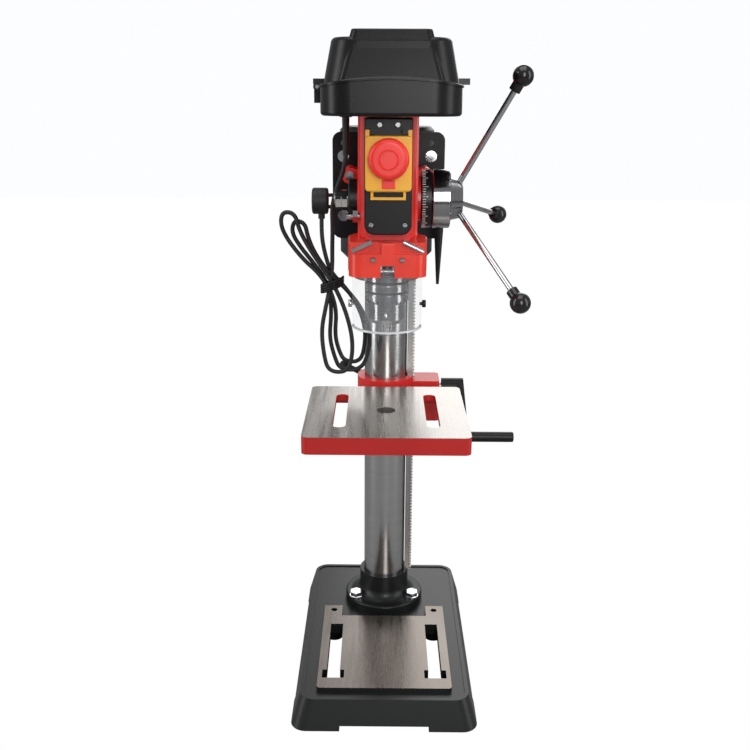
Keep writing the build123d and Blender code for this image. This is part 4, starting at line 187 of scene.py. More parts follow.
class Finish:
    """A material with a Principled shader, and one method that makes any node."""

    def __init__(self, name, roughness, metallic=0.0, **constants):
        self.material = bpy.data.materials.new(name)
        self.material.use_nodes = True
        self.tree = self.material.node_tree
        self.shader = self.tree.nodes["Principled BSDF"]
        self.shader.inputs["Roughness"].default_value = roughness
        self.shader.inputs["Metallic"].default_value = metallic
        for socket, value in constants.items():
            self.shader.inputs[socket.replace("_", " ")].default_value = value
        self.place = self.make("ShaderNodeTexCoord", output="Object")

    def make(self, kind, settings=None, values=None, output=0):
        """Any node: its settings first, then the values or links of its sockets."""
        node = self.tree.nodes.new(kind)
        for name, value in (settings or {}).items():
            setattr(node, name, value)
        for socket, value in (values or {}).items():
            if isinstance(value, Term):
                self.tree.links.new(value.socket, node.inputs[socket])
            else:
                node.inputs[socket].default_value = value
        return Term(self, node.outputs[output])

    def noise(self, scale, detail=2.0, stretch=None):
        place = self.place
        if stretch:
            place = self.make("ShaderNodeMapping", None, {"Vector": place, "Scale": stretch})
        return self.make(
            "ShaderNodeTexNoise", None, {"Vector": place, "Scale": scale, "Detail": detail}, "Fac"
        )

    def height_mask(self, low, high):
        """0 below one height and 1 above another, in metres."""
        height = self.make("ShaderNodeSeparateXYZ", None, {0: self.place}, "Z")
        return self.make("ShaderNodeMapRange", None, {0: height, 1: low, 2: high})

    def spread(self, value, low, high):
        """A noise's middle range, stretched to run from low to high."""
        return self.make(
            "ShaderNodeMapRange", None, {0: value, 1: NOISE_LOW, 2: NOISE_HIGH, 3: low, 4: high}
        )

    def blend(self, factor, first, second):
        values = {0: factor, 6: first, 7: second}
        return self.make("ShaderNodeMix", {"data_type": "RGBA"}, values, 2)

    def feed(self, socket, value):
        self.tree.links.new(value.socket, self.shader.inputs[socket])

    def bump(self, height, strength, distance):
        values = {"Height": height, "Strength": strength, "Distance": distance}
        self.feed("Normal", self.make("ShaderNodeBump", None, values))


# %% [markdown]
# ## Paint
# Sprayed enamel is smooth but never flat: it keeps a faint orange peel, and its gloss wanders a
# little. Castings show their sand texture through a thinner coat, so the black base gets a
# coarser bump than the red head. Two noises give both, one fine and one broad.

# %% Painted finishes


def painted(name, colour, roughness, grain_scale, grain_depth, coat=0.0, gloss=0.5):
    """Enamel over a casting or a pressing."""
    finish = Finish(name, roughness, Coat_Weight=coat, Coat_Roughness=0.12, Specular_IOR_Level=gloss)
    broad = finish.noise(9.0, 3.0)
    fine = finish.noise(grain_scale, 3.0)
    dark = (*[channel * 0.86 for channel in colour], 1)
    light = (*[min(channel * 1.1 + 0.002, 1) for channel in colour], 1)
    finish.feed("Base Color", finish.blend(finish.spread(broad, 0, 1), dark, light))
    wander = fine * 0.6 + broad * 0.4
    finish.feed("Roughness", finish.spread(wander, roughness * 0.85, roughness * 1.2))
    finish.bump(fine, 0.35, grain_depth)
    return finish


HEAD_RED = (0.82, 0.026, 0.02)
TABLE_RED = (0.52, 0.014, 0.012)
head_red = painted("head_red", HEAD_RED, 0.34, 260, 0.00018, coat=0.3)
lid_black = painted("lid_black", (0.0045, 0.0045, 0.005), 0.3, 700, 0.00006, gloss=0.3)
motor_grey = painted("motor_grey", (0.03, 0.032, 0.034), 0.38, 420, 0.0001, gloss=0.35)
plate_black = painted("plate_black", (0.005, 0.005, 0.005), 0.4, 420, 0.0001, gloss=0.3)
holder_black = painted("holder_black", (0.008, 0.009, 0.009), 0.34, 300, 0.0002, gloss=0.35)

# %% [markdown]
# ## Two finishes on one casting
# The table and the base are painted castings with a ground face. The face is part of the casting,
# so the steel is not a separate piece but a mask on height. Grinding leaves faint streaks along one
# direction, which a stretched noise gives. The table's hole is bare steel down its bore.

# %% Ground faces on painted castings
BORE_EDGE = 0.001
FACE_START, FACE_FULL = 0.0003, 0.0001


def ground_face(name, paint_colour, paint_roughness, face_height, steel_colour, streak, bore=None):
    """Painted casting below one height and ground metal above it."""
    finish = Finish(name, paint_roughness)
    mask = finish.height_mask(face_height - FACE_START, face_height - FACE_FULL)
    if bore:
        bore_centre, bore_radius = bore
        vector = "ShaderNodeVectorMath"
        centred = finish.make(vector, {"operation": "SUBTRACT"}, {0: finish.place, 1: bore_centre})
        flat = finish.make(vector, {"operation": "MULTIPLY"}, {0: centred, 1: (1, 1, 0)})
        reach = finish.make(vector, {"operation": "LENGTH"}, {0: flat}, "Value")
        inside = finish.make(
            "ShaderNodeMapRange", None, {0: reach, 1: bore_radius + BORE_EDGE, 2: bore_radius}
        )
        mask = mask + inside - mask * inside
    sand = finish.noise(260.0, 3.0)
    broad = finish.noise(7.0, 3.0)
    streaks = finish.noise(1.0, 3.0, stretch=streak)
    dark = (*[channel * 0.85 for channel in paint_colour], 1)
    light = (*[channel * 1.12 for channel in paint_colour], 1)
    paint = finish.blend(finish.spread(broad, 0, 1), dark, light)
    deep = (*[channel * 0.72 for channel in steel_colour], 1)
    pale = (*[min(channel * 1.25, 1) for channel in steel_colour], 1)
    steel = finish.blend(finish.spread(streaks * 0.6 + broad * 0.4, 0, 1), deep, pale)
    finish.feed("Base Color", finish.blend(mask, paint, steel))
    finish.feed("Metallic", mask * 0.85)
    finish.feed("Roughness", finish.spread(streaks, 0.22, 0.34) * mask + paint_roughness * (1 - mask))
    finish.bump(sand * (1 - mask) + streaks * mask * 0.25, 0.3, 0.0002)
    return finish


table_low, table_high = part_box("table")
base_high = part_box("base_casting")[1]
table_middle = (table_low + table_high) / 2
TABLE_HOLE = 0.0122
table_finish = ground_face(
    "table_finish", TABLE_RED, 0.36, table_high.z, (0.4, 0.375, 0.35), (260, 9, 1),
    bore=((table_middle.x, table_middle.y, 0), TABLE_HOLE),
)
base_finish = ground_face(
    "base_finish", (0.007, 0.008, 0.008), 0.36, base_high.z, (0.2, 0.175, 0.155), (200, 12, 1)
)
print("ground faces at heights", round(table_high.z, 4), round(base_high.z, 4))

# %% [markdown]
# ## Steel, chrome and alloy
# The column is ground while it turns, so its marks run round it and are under a millimetre high.
# Chrome is nearly a mirror, with small clouds in its gloss. One noise is stretched for the marks.

# %% Metals


def metal(name, colour, roughness, stretch, depth=0.00004):
    """Bare or plated metal with marks stretched one way."""
    finish = Finish(name, roughness, 1.0)
    marks = finish.noise(1.0, 4.0, stretch=stretch)
    clouds = finish.noise(30.0, 2.0)
    deep = (*[channel * 0.8 for channel in colour], 1)
    finish.feed("Base Color", finish.blend(finish.spread(marks, 0, 1), deep, (*colour, 1)))
    gloss = marks * 0.7 + clouds * 0.3
    finish.feed("Roughness", finish.spread(gloss, roughness * 0.7, roughness * 1.35))
    finish.bump(marks, 0.25, depth)
    return finish


column_steel = metal("column_steel", (0.55, 0.545, 0.54), 0.2, (8, 8, 1200), 0.00001)
rack_steel = metal("rack_steel", (0.42, 0.41, 0.4), 0.34, (500, 500, 40))
turned_steel = metal("turned_steel", (0.33, 0.33, 0.335), 0.26, (60, 60, 1800))
hub_chrome = metal("hub_chrome", (0.4, 0.4, 0.41), 0.12, (900, 12, 12), 0.00001)
chrome = metal("chrome", (0.62, 0.62, 0.64), 0.12, (40, 40, 40), 0.00001)
chuck_steel = metal("chuck_steel", (0.42, 0.42, 0.43), 0.2, (20, 20, 300), 0.000004)
pulley_alloy = metal("pulley_alloy", (0.6, 0.6, 0.6), 0.35, (60, 60, 1500))

# %% [markdown]
# ## Plastic and rubber
# Moulded parts carry the fine spark texture of their tool. The clear shield lets light through
# by its alpha, which rises where it is scuffed. The floor is white to the camera and grey to
# everything else, so that it does not wash out the steel.

# %% Plastics and rubber


def moulded(name, colour, roughness, grain=900, depth=0.00006, gloss=0.5):
    """Injection-moulded plastic or rubber."""
    finish = Finish(name, roughness, Specular_IOR_Level=gloss)
    spark = finish.noise(grain, 2.0)
    broad = finish.noise(14.0, 2.0)
    dark = (*[channel * 0.88 for channel in colour], 1)
    light = (*[min(channel * 1.1 + 0.003, 1) for channel in colour], 1)
    finish.feed("Base Color", finish.blend(finish.spread(broad, 0, 1), dark, light))
    finish.feed("Roughness", finish.spread(spark, roughness * 0.85, roughness * 1.2))
    finish.bump(spark, 0.25, depth)
    return finish


guard_red = moulded("guard_red", (0.84, 0.045, 0.024), 0.3)
flap_yellow = moulded("flap_yellow", (0.95, 0.45, 0.025), 0.32)
mushroom_red = moulded("mushroom_red", (0.86, 0.03, 0.022), 0.3, 1400, 0.00002)
start_green = moulded("start_green", (0.02, 0.36, 0.07), 0.34)
switch_black = moulded("switch_black", (0.006, 0.0055, 0.0055), 0.36, gloss=0.3)
knob_black = moulded("knob_black", (0.008, 0.008, 0.008), 0.16)
ring_black = moulded("ring_black", (0.006, 0.006, 0.006), 0.3, gloss=0.35)
rubber_grey = moulded("rubber_grey", (0.014, 0.015, 0.015), 0.48, 500, gloss=0.4)
# Opaque pale grey for the shield's lower edge: a painted highlight where the clear edge catches
# light.
shield_edge_painted_highlight = moulded("shield_edge_painted_highlight", (0.72, 0.75, 0.76), 0.12)
# Near-black for the chuck's grooves: painted shade where the recess catches no light.
groove_painted_shade = moulded("groove_painted_shade", (0.004, 0.004, 0.004), 0.55)
tick_white = moulded("tick_white", (0.85, 0.85, 0.84), 0.45)
shield_clear = Finish("shield_clear", 0.06, IOR=1.49)
scuffs = shield_clear.noise(70.0, 3.0)
shield_clear.feed("Alpha", shield_clear.spread(scuffs, 0.07, 0.11))
shield_clear.shader.inputs["Base Color"].default_value = (0.7, 0.74, 0.76, 1)
shield_clear.feed("Roughness", shield_clear.spread(scuffs, 0.04, 0.12))
floor_pale = Finish("floor_pale", 0.7)
floor_pale.shader.inputs["Base Color"].default_value = (0.3, 0.3, 0.3, 1)
bright_floor = floor_pale.make("ShaderNodeEmission", None, {"Color": (1, 1, 1, 1), "Strength": 1.0})
seen_floor = floor_pale.make("ShaderNodeLightPath", output="Is Camera Ray")
floor_mix = floor_pale.make(
    "ShaderNodeMixShader", None,
    {0: seen_floor, 1: Term(floor_pale, floor_pale.shader.outputs[0]), 2: bright_floor},
)
floor_pale.tree.links.new(
    floor_mix.socket, floor_pale.tree.nodes["Material Output"].inputs["Surface"]
)
floor_mesh.materials.append(floor_pale.material)

# %% [markdown]
# ## Which finish goes on which piece
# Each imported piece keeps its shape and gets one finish. A table from piece to finish is easier to
# read and to change than a line for each piece.

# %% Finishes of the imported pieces
FINISHES = {
    "base_casting": base_finish, "column_holder": holder_black, "holder_bolts": chrome,
    "column": column_steel, "rack_collar": turned_steel, "table_rack": rack_steel,
    "table_bracket": painted("bracket_red", (0.72, 0.024, 0.02), 0.36, 260, 0.0002),
    "tilt_bolt": chrome,
    "lift_gear": turned_steel, "worm_shaft": turned_steel, "crank_arm": plate_black,
    "crank_grip": switch_black, "table_lock": plate_black, "table": table_finish,
    "head_casting": head_red, "gib_screw": chrome, "sleeve_bearing": turned_steel,
    "quill": turned_steel, "quill_bearings": turned_steel, "spindle": turned_steel,
    "chuck_body": chuck_steel, "chuck_sleeve": chuck_steel, "chuck_jaw_1": turned_steel,
    "chuck_jaw_2": turned_steel, "chuck_jaw_3": turned_steel, "pinion_shaft": turned_steel,
    "feed_hub": hub_chrome, "feed_spokes": chrome, "feed_knobs": knob_black,
    "depth_ring": ring_black, "spring_cap": ring_black, "return_spring": turned_steel,
    "cap_nuts": chrome, "belt_tub": lid_black, "belt_lid": lid_black, "hinge_pins": chrome,
    "spindle_pulley": pulley_alloy, "motor_pulley": pulley_alloy, "drive_belt": rubber_grey,
    "motor_housing": motor_grey, "motor_stator": turned_steel, "motor_rotor": turned_steel,
    "motor_plate": plate_black, "motor_bolts": chrome, "slide_rods": chrome,
    "tension_lever": ring_black, "switch_box": switch_black, "start_button": start_green,
    "stop_button": mushroom_red, "stop_flap": flap_yellow, "stop_mushroom": mushroom_red,
    "guard_holder": guard_red, "guard_levers": chrome, "clear_shield": shield_clear,
    "shield_screw": switch_black, "cover_screws": turned_steel, "cord_boot": rubber_grey,
    "mains_lead": rubber_grey, "cord_hank": rubber_grey, "mains_plug": rubber_grey,
}
for node_name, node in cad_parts.items():
    node.data.materials.clear()
    node.data.materials.append(FINISHES[node_name].material)
print("finished nodes", len(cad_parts))

# %% [markdown]
# ## The mains cord
# One cord leaves the rubber boot, falls to the tie, makes three long loops below it and two above,
# and comes back up to the plug. A flexible cord under its own weight is a smooth curve, so it is
# one spline whose points are its route in millimetres. The loops differ in size, as hand-wound
# ones do.

# %% Mains cord
CORD_DIAMETER = 0.0056
MILLIMETRES = 1000
CORD_ROUTE = [
    (-52, -46, 704), (-54.5, -46, 686), (-64, -41, 664), (-70.5, -34, 640), (-70, -28, 612),
    (-71, -24, 586), (-71, -23, 562), (-74, -25, 536), (-80, -28, 508), (-86, -30, 478),
    (-83, -31, 444), (-77, -31, 421), (-52, -31, 420), (-45, -31, 442), (-45, -31, 470),
    (-54, -30, 505), (-68, -27, 536), (-85, -27, 562), (-102, -28, 588), (-113, -29, 610),
    (-118, -30, 631), (-134, -30, 633), (-137, -29, 616), (-128, -27, 596), (-108, -25, 570),
    (-88, -23, 552), (-74, -22, 528), (-73, -21, 496), (-76, -20, 466), (-70, -19, 440),
    (-62, -19, 420), (-34, -18, 420), (-24, -18, 442), (-21, -18, 470), (-32, -18, 504),
    (-52, -19, 530), (-76, -20, 552), (-94, -20, 578), (-103, -20, 600), (-106, -19, 617),
    (-120, -19, 621), (-124, -18, 605), (-113, -17, 586), (-92, -17, 560), (-76, -16, 534),
    (-66, -15, 502), (-69, -14, 468), (-64, -13, 446), (-56, -13, 430), (-35, -13, 430),
    (-29, -13, 450), (-28, -13, 478), (-38, -13, 508), (-56, -13, 534), (-74, -12, 552),
    (-82, -5, 576), (-86.5, 2, 600), (-86, 4, 620),
]


def cord_curve(name, route, diameter):
    """A round cord along one smooth open spline."""
    curve = bpy.data.curves.new(name, "CURVE")
    curve.dimensions = "3D"
    curve.resolution_u = 8
    spline = curve.splines.new("NURBS")
    spline.points.add(len(route) - 1)
    for point, (x, y, z) in zip(spline.points, route):
        point.co = (x / MILLIMETRES, y / MILLIMETRES, z / MILLIMETRES, 1)
    spline.order_u = 3
    spline.use_endpoint_u = True
    line = bpy.data.objects.new(name, curve)
    bpy.context.scene.collection.objects.link(line)
    path = bpy.data.meshes.new_from_object(line)
    points = [vertex.co.copy() for vertex in path.vertices]
    curve.bevel_depth = diameter / 2
    curve.bevel_resolution = 4
    curve.use_fill_caps = True
    curve.materials.append(rubber_grey.material)
    return line, points


mains_cord, cord_points = cord_curve("mains_cord", CORD_ROUTE, CORD_DIAMETER)
measured = sum((b - a).length for a, b in zip(cord_points, cord_points[1:]))
print("cord length", round(measured, 3))
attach(mains_cord, "frame")
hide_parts("mains_lead", "cord_hank")

# %% [markdown]
# ## The cord's tie
# A soft wire wound round the bundle holds the loops together. It is four turns of a thin helix,
# tilted across the bundle, so a curve with a small bevel makes it.

# %% Cord tie
TIE_CENTRE = Vector((-0.0715, -0.0205, 0.5365))
TIE_HALF_WIDTH = 0.0145
TIE_HALF_DEPTH = 0.0135
TIE_TURNS = 4
TIE_WIRE = 0.0016
TIE_HEIGHT = 0.012
TIE_TILT = 0.35
TURN_STEPS = 16
tie_curve = bpy.data.curves.new("cord_tie", "CURVE")
tie_curve.dimensions = "3D"
tie_spline = tie_curve.splines.new("NURBS")
tie_steps = TIE_TURNS * TURN_STEPS
tie_spline.points.add(tie_steps)
for step in range(tie_steps + 1):
    angle = step / TURN_STEPS * 2 * math.pi
    rise = (step / tie_steps - 0.5) * TIE_HEIGHT
    tie_spline.points[step].co = (
        TIE_CENTRE.x + TIE_HALF_WIDTH * math.cos(angle),
        TIE_CENTRE.y + TIE_HALF_DEPTH * math.sin(angle),
        TIE_CENTRE.z + rise + TIE_TILT * TIE_HALF_WIDTH * math.cos(angle), 1,
    )
tie_spline.order_u = 3
tie_spline.use_endpoint_u = True
tie_curve.bevel_depth = TIE_WIRE
tie_curve.bevel_resolution = 2
tie_curve.materials.append(switch_black.material)
cord_tie = bpy.data.objects.new("cord_tie", tie_curve)
bpy.context.scene.collection.objects.link(cord_tie)
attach(cord_tie, "frame")
print("tie points", len(tie_spline.points))

# %% [markdown]
# ## Repeated details with Geometry Nodes
# Scale marks and vent ribs repeat by a rule, so one small tree makes each: a circle of points, an
# instance of one block on every point, then Realize Instances and Set Material. The result becomes
# a plain mesh, because an export drops instances.

# %% A tree that sets blocks round a ring


def ring_tree(material):
    """Blocks round the Z axis at one radius. Inputs: Count, Radius, Length, Width and Rise."""
    tree = bpy.data.node_groups.new("ring_of_blocks", "GeometryNodeTree")
    tree.interface.new_socket("Geometry", in_out="INPUT", socket_type="NodeSocketGeometry")
    for name, kind in (
        ("Count", "NodeSocketInt"), ("Radius", "NodeSocketFloat"), ("Length", "NodeSocketFloat"),
        ("Width", "NodeSocketFloat"), ("Rise", "NodeSocketFloat"),
    ):
        tree.interface.new_socket(name, in_out="INPUT", socket_type=kind)
    tree.interface.new_socket("Geometry", in_out="OUTPUT", socket_type="NodeSocketGeometry")
    make, link = tree.nodes.new, tree.links.new
    given = make("NodeGroupInput")
    circle = make("GeometryNodeMeshCircle")
    link(given.outputs["Count"], circle.inputs["Vertices"])
    link(given.outputs["Radius"], circle.inputs["Radius"])
    size = make("ShaderNodeCombineXYZ")
    link(given.outputs["Rise"], size.inputs[0])
    link(given.outputs["Width"], size.inputs[1])
    link(given.outputs["Length"], size.inputs[2])
    cube = make("GeometryNodeMeshCube")
    link(size.outputs[0], cube.inputs["Size"])
    index = make("GeometryNodeInputIndex")
    divide = make("ShaderNodeMath")
    divide.operation = "DIVIDE"
    link(index.outputs[0], divide.inputs[0])
    link(given.outputs["Count"], divide.inputs[1])
    turn_by = make("ShaderNodeMath")
    turn_by.operation = "MULTIPLY"
    turn_by.inputs[1].default_value = 2 * math.pi
    link(divide.outputs[0], turn_by.inputs[0])
    angle = make("ShaderNodeCombineXYZ")
    link(turn_by.outputs[0], angle.inputs[2])
    place = make("GeometryNodeInstanceOnPoints")
    link(circle.outputs["Mesh"], place.inputs["Points"])
    link(cube.outputs["Mesh"], place.inputs["Instance"])
    link(angle.outputs[0], place.inputs["Rotation"])
    realize = make("GeometryNodeRealizeInstances")
    link(place.outputs[0], realize.inputs[0])
    paint = make("GeometryNodeSetMaterial")
    paint.inputs["Material"].default_value = material
    link(realize.outputs[0], paint.inputs["Geometry"])
    result = make("NodeGroupOutput")
    link(paint.outputs[0], result.inputs[0])
    return tree


def ring_piece(name, finish, matrix, **sizes):
    """The plain mesh of one ring of blocks, its place in its mesh."""
    tree = ring_tree(finish.material)
    carrier = bpy.data.objects.new(name, bpy.data.meshes.new(name))
    bpy.context.scene.collection.objects.link(carrier)
    modifier = carrier.modifiers.new("ring", "NODES")
    modifier.node_group = tree
    for item in tree.interface.items_tree:
        if item.in_out == "INPUT" and item.name in sizes:
            modifier[item.identifier] = sizes[item.name]
    depsgraph = bpy.context.evaluated_depsgraph_get()
    mesh = bpy.data.meshes.new_from_object(carrier.evaluated_get(depsgraph))
    carrier.modifiers.remove(modifier)
    mesh.transform(matrix)
    carrier.data = mesh
    print(name, "faces", len(mesh.polygons))
    return carrier


# %% [markdown]
# ## Depth scale and motor vents
# The depth ring has fine marks, and a longer one at every fourth. On the real ring they are
# engraved and filled. Here they stand a fraction of a millimetre proud, which needs no cut in the
# ring. The motor's lower end has a ring of ribs, made by the same tree.

# %% Depth scale marks
ring_low, ring_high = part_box("depth_ring")
ring_centre = (ring_low + ring_high) / 2
ring_radius = (ring_high.z - ring_low.z) / 2
along_x = Matrix.Rotation(math.radians(90), 4, "Y")
MARK_WIDTH, MARK_RISE = 0.0007, 0.0004
for mark_name, count, length, shift in (
    ("scale_marks_fine", 72, 0.004, -0.0035), ("scale_marks_long", 18, 0.0065, -0.0022),
):
    centre = ring_centre + Vector((shift, 0, 0))
    marks = ring_piece(
        mark_name, tick_white, Matrix.Translation(centre) @ along_x,
        Count=count, Radius=ring_radius, Length=length, Width=MARK_WIDTH, Rise=MARK_RISE,
    )
    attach(marks, "depth_ring")

# %% Ribs under the motor
VENT_COUNT, VENT_RADIUS, VENT_LIFT = 24, 0.038, 0.0006
motor_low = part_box("motor_housing")[0]
pulley_low, pulley_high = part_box("motor_pulley")
motor_axis = (pulley_low + pulley_high) / 2
motor_ribs = ring_piece(
    "motor_vents", plate_black,
    Matrix.Translation((motor_axis.x, motor_axis.y, motor_low.z + VENT_LIFT)),
    Count=VENT_COUNT, Radius=VENT_RADIUS, Length=0.0012, Width=0.003, Rise=0.02,
)
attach(motor_ribs, "motor")

# %% [markdown]
# ## Turned details
# Many small parts of a machine are turned, such as rings and thumb screws. A lathe helper takes
# half of the section as radius and height pairs and turns it round Z. A shape made this way is
# always round and needs no boolean.

# %% Finishing a mesh, and the lathe
LATHE_SIDES = 64
SHARP_ANGLE = math.radians(35)


def finished_piece(name, grid, finish, body, smooth=False):
    """The object of one mesh, on its body and with its finish."""
    mesh = bpy.data.meshes.new(name)
    grid.to_mesh(mesh)
    grid.free()
    if smooth:
        mesh.shade_smooth()
        mesh.set_sharp_from_angle(angle=SHARP_ANGLE)
    mesh.materials.append(finish.material)
    piece = bpy.data.objects.new(name, mesh)
    bpy.context.scene.collection.objects.link(piece)
    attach(piece, body)
    return piece


def lathe(name, finish, outline, matrix, body):
    """A closed turned piece: outline is (radius, height) pairs, and the last joins the first."""
    grid = bmesh.new()
    rings = []
    for radius, height in outline:
        if radius == 0:
            rings.append([grid.verts.new((0, 0, height))])
            continue
        rings.append([
            grid.verts.new((
                radius * math.cos(2 * math.pi * side / LATHE_SIDES),
                radius * math.sin(2 * math.pi * side / LATHE_SIDES), height,
            ))
            for side in range(LATHE_SIDES)
        ])
    for low_ring, high_ring in zip(rings, rings[1:] + rings[:1]):
        if len(low_ring) == len(high_ring) == 1:
            continue
        for side in range(LATHE_SIDES):
            following = (side + 1) % LATHE_SIDES
            corners = [low_ring[side % len(low_ring)], low_ring[following % len(low_ring)],
                       high_ring[following % len(high_ring)], high_ring[side % len(high_ring)]]
            grid.faces.new(list(dict.fromkeys(corners)))
    bmesh.ops.recalc_face_normals(grid, faces=grid.faces)
    grid.transform(matrix)
    return finished_piece(name, grid, finish, body, smooth=True)


# %% [markdown]
# ## Grooves of the chuck
# The chuck's sleeve has two grooves round it, which catch no light. Their shade is painted: each is a
# thin near-black ring that stands a tenth of a millimetre proud, so it never flickers with the steel.

# %% Chuck grooves
sleeve_low, sleeve_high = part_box("chuck_sleeve")
sleeve_radius = (sleeve_high.x - sleeve_low.x) / 2
sleeve_axis = (sleeve_low + sleeve_high) / 2
GROOVE_HEIGHT, GROOVE_PROUD, GROOVE_DEPTH = 0.003, 0.00012, 0.0012
GROOVE_SHARES = (0.36, 0.7)
outer, inner = sleeve_radius + GROOVE_PROUD, sleeve_radius - GROOVE_DEPTH
for number, share in enumerate(GROOVE_SHARES):
    height = sleeve_low.z + share * (sleeve_high.z - sleeve_low.z)
    lathe(
        f"chuck_groove_{number + 1}", groove_painted_shade,
        [(inner, 0), (outer, 0), (outer, GROOVE_HEIGHT), (inner, GROOVE_HEIGHT)],
        Matrix.Translation((sleeve_axis.x, sleeve_axis.y, height)),
        "chuck_sleeve",
    )
print("sleeve radius", round(sleeve_radius, 4))

# %% [markdown]
# ## The stop mushroom's face
# The red mushroom has a raised ring on its face, and a red tongue below it on the yellow flap
# shows the way to lift. The ring is turned, and the tongue is a small block with rounded edges.

# %% Mushroom ring and tongue
cap_low, cap_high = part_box("stop_mushroom")
cap_axis = (cap_low + cap_high) / 2
facing_front = Matrix.Rotation(math.radians(90), 4, "X")
RING_RADIUS = 0.0105
lathe(
    "mushroom_ring", mushroom_red,
    [(RING_RADIUS - 0.0014, -0.001), (RING_RADIUS - 0.001, 0.0007), (RING_RADIUS, 0.0011),
     (RING_RADIUS + 0.001, 0.0007), (RING_RADIUS + 0.0014, -0.001)],
    Matrix.Translation((cap_axis.x, cap_low.y, cap_axis.z)) @ facing_front, "mushroom",
)

flap_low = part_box("stop_flap")[0]
TONGUE_WIDTH, TONGUE_HEIGHT, TONGUE_RISE = 0.015, 0.0096, 0.0016
TONGUE_GAP, TONGUE_SUNK, TONGUE_ROUND = 0.0004, 0.0008, 0.0006
tongue_middle = (
    0, flap_low.y - TONGUE_RISE / 2 + TONGUE_SUNK / 2, cap_low.z - TONGUE_HEIGHT / 2 - TONGUE_GAP
)
tongue_grid = bmesh.new()
bmesh.ops.create_cube(tongue_grid, size=1)
tongue_grid.transform(
    Matrix.Translation(tongue_middle)
    @ Matrix.Diagonal((TONGUE_WIDTH, TONGUE_RISE + TONGUE_SUNK, TONGUE_HEIGHT, 1))
)
bmesh.ops.bevel(
    tongue_grid, geom=tongue_grid.edges[:], offset=TONGUE_ROUND, segments=3, profile=0.5,
    affect="EDGES",
)
finished_piece("flap_tongue", tongue_grid, mushroom_red, "flap")
print("mushroom centre", [round(value, 4) for value in cap_axis])

# %% [markdown]
# ## The shield's edge and screws
# A moulded clear shield is brightest along its cut lower edge. That brightness is a painted
# highlight: the edge is a slim half ring of its own, in an opaque pale grey. Two thumb screws, one at
# each side, hold the shield to its ring.

# %% Shield edge and thumb screws
shield_low, shield_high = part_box("clear_shield")
shield_radius = (shield_high.x - shield_low.x) / 2
shield_axis_y = shield_high.y
EDGE_HEIGHT, EDGE_PROUD, EDGE_DEPTH = 0.0022, 0.0001, 0.0026
EDGE_SECTION = (
    (EDGE_PROUD, 0), (EDGE_PROUD, EDGE_HEIGHT), (-EDGE_DEPTH, EDGE_HEIGHT), (-EDGE_DEPTH, 0)
)
EDGE_STEPS = 64
edge_grid = bmesh.new()
edge_rings = []
for step in range(EDGE_STEPS + 1):
    angle = math.pi * (1 + step / EDGE_STEPS)
    ring = []
    for reach, rise in EDGE_SECTION:
        radius = shield_radius + reach
        ring.append(edge_grid.verts.new((
            radius * math.cos(angle), shield_axis_y + radius * math.sin(angle),
            shield_low.z + rise,
        )))
    edge_rings.append(ring)
for first, second in zip(edge_rings, edge_rings[1:]):
    for side in range(4):
        following = (side + 1) % 4
        edge_grid.faces.new((first[side], first[following], second[following], second[side]))
edge_grid.faces.new(edge_rings[0])
edge_grid.faces.new(edge_rings[-1])
bmesh.ops.recalc_face_normals(edge_grid, faces=edge_grid.faces)
finished_piece("shield_rim", edge_grid, shield_edge_painted_highlight, "shield")

THUMB_OUTLINE = [
    (0, -0.003), (0.002, -0.003), (0.002, 0), (0.0042, 0.0002), (0.0046, 0.0008), (0.0046, 0.0042),
    (0.0042, 0.0048), (0, 0.0048),
]
THUMB_BACK, THUMB_HEIGHT = 0.006, 0.03
for side_name, way, finish in (("left", -1, chrome), ("right", 1, switch_black)):
    outwards = Matrix.Rotation(math.radians(90 * way), 4, "Y")
    screw_place = (way * shield_radius, shield_axis_y - THUMB_BACK, shield_low.z + THUMB_HEIGHT)
    lathe(
        f"shield_thumb_{side_name}", finish, THUMB_OUTLINE,
        Matrix.Translation(screw_place) @ outwards, "shield",
    )
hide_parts("shield_screw")
print("shield radius", round(shield_radius, 4))

# %% [markdown]
# ## The lid's lip
# The belt lid closes on a lip that runs all the way round the seam. The seam is a long arch, so
# the lip is one profile swept along a rounded rectangle whose height follows that arch.

# %% Lid lip
TUB_CENTRE, TUB_HALF, TUB_FRONT, TUB_BACK = 0.0025, 0.079, -0.183, 0.256
CORNER, ARCH_TOP, ARCH_RADIUS = 0.034, 0.792, 0.4
LIP_OUT, LIP_IN, LIP_LIFT, LIP_HEIGHT = 0.0016, 0.004, 0.0004, 0.0032
LIP_ROUND, LIP_ROUND_SHARE = 0.001, 0.25
CORNER_STEPS, LONGEST_EDGE = 12, 0.006


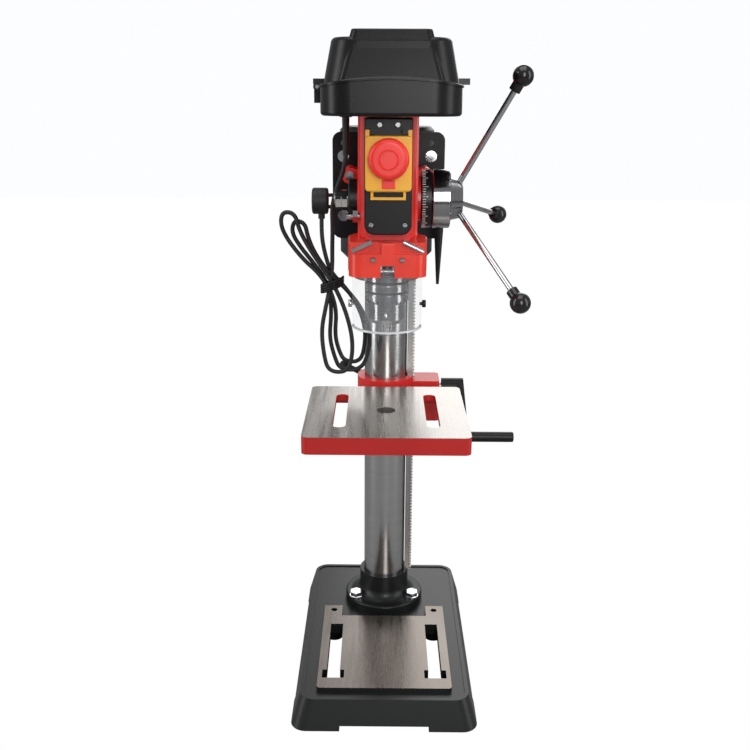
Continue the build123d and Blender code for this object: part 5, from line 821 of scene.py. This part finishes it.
def lip_outline(offset):
    """Points round the housing, offset outwards, with the height of the arch at each."""
    points = []
    radius = CORNER + offset
    corners = (
        (TUB_CENTRE + TUB_HALF - CORNER, TUB_FRONT + CORNER, -90),
        (TUB_CENTRE + TUB_HALF - CORNER, TUB_BACK - CORNER, 0),
        (TUB_CENTRE - TUB_HALF + CORNER, TUB_BACK - CORNER, 90),
        (TUB_CENTRE - TUB_HALF + CORNER, TUB_FRONT + CORNER, 180),
    )
    for x, y, start in corners:
        for step in range(CORNER_STEPS + 1):
            angle = math.radians(start + 90 * step / CORNER_STEPS)
            points.append((x + radius * math.cos(angle), y + radius * math.sin(angle)))
    filled = []
    for (x0, y0), (x1, y1) in zip(points, points[1:] + points[:1]):
        parts = max(1, round(math.hypot(x1 - x0, y1 - y0) / LONGEST_EDGE))
        filled += [(x0 + (x1 - x0) * n / parts, y0 + (y1 - y0) * n / parts) for n in range(parts)]
    arch_centre = ARCH_TOP - ARCH_RADIUS
    return [
        (x, y, arch_centre + math.sqrt(ARCH_RADIUS**2 - (x - TUB_CENTRE) ** 2)) for x, y in filled
    ]


lip_grid = bmesh.new()
lip_rings = []
middle_y = (TUB_FRONT + TUB_BACK) / 2
for x, y, z in lip_outline(LIP_OUT):
    inner_x = TUB_CENTRE + (x - TUB_CENTRE) * (1 - LIP_IN / TUB_HALF)
    inner_y = middle_y + (y - middle_y) * (1 - LIP_IN / (TUB_BACK - middle_y))
    low_z, high_z = z + LIP_LIFT, z + LIP_LIFT + LIP_HEIGHT
    round_x = x + (inner_x - x) * LIP_ROUND_SHARE
    round_y = y + (inner_y - y) * LIP_ROUND_SHARE
    section = (
        (x, y, low_z), (x, y, high_z - LIP_ROUND), (round_x, round_y, high_z),
        (inner_x, inner_y, high_z), (inner_x, inner_y, low_z),
    )
    lip_rings.append([lip_grid.verts.new(corner) for corner in section])
for first, second in zip(lip_rings, lip_rings[1:] + lip_rings[:1]):
    for side in range(len(first)):
        following = (side + 1) % len(first)
        lip_grid.faces.new((first[side], first[following], second[following], second[side]))
bmesh.ops.recalc_face_normals(lip_grid, faces=lip_grid.faces)
finished_piece("lid_lip", lip_grid, lid_black, "lid", smooth=True)
print("lip points", len(lip_rings))
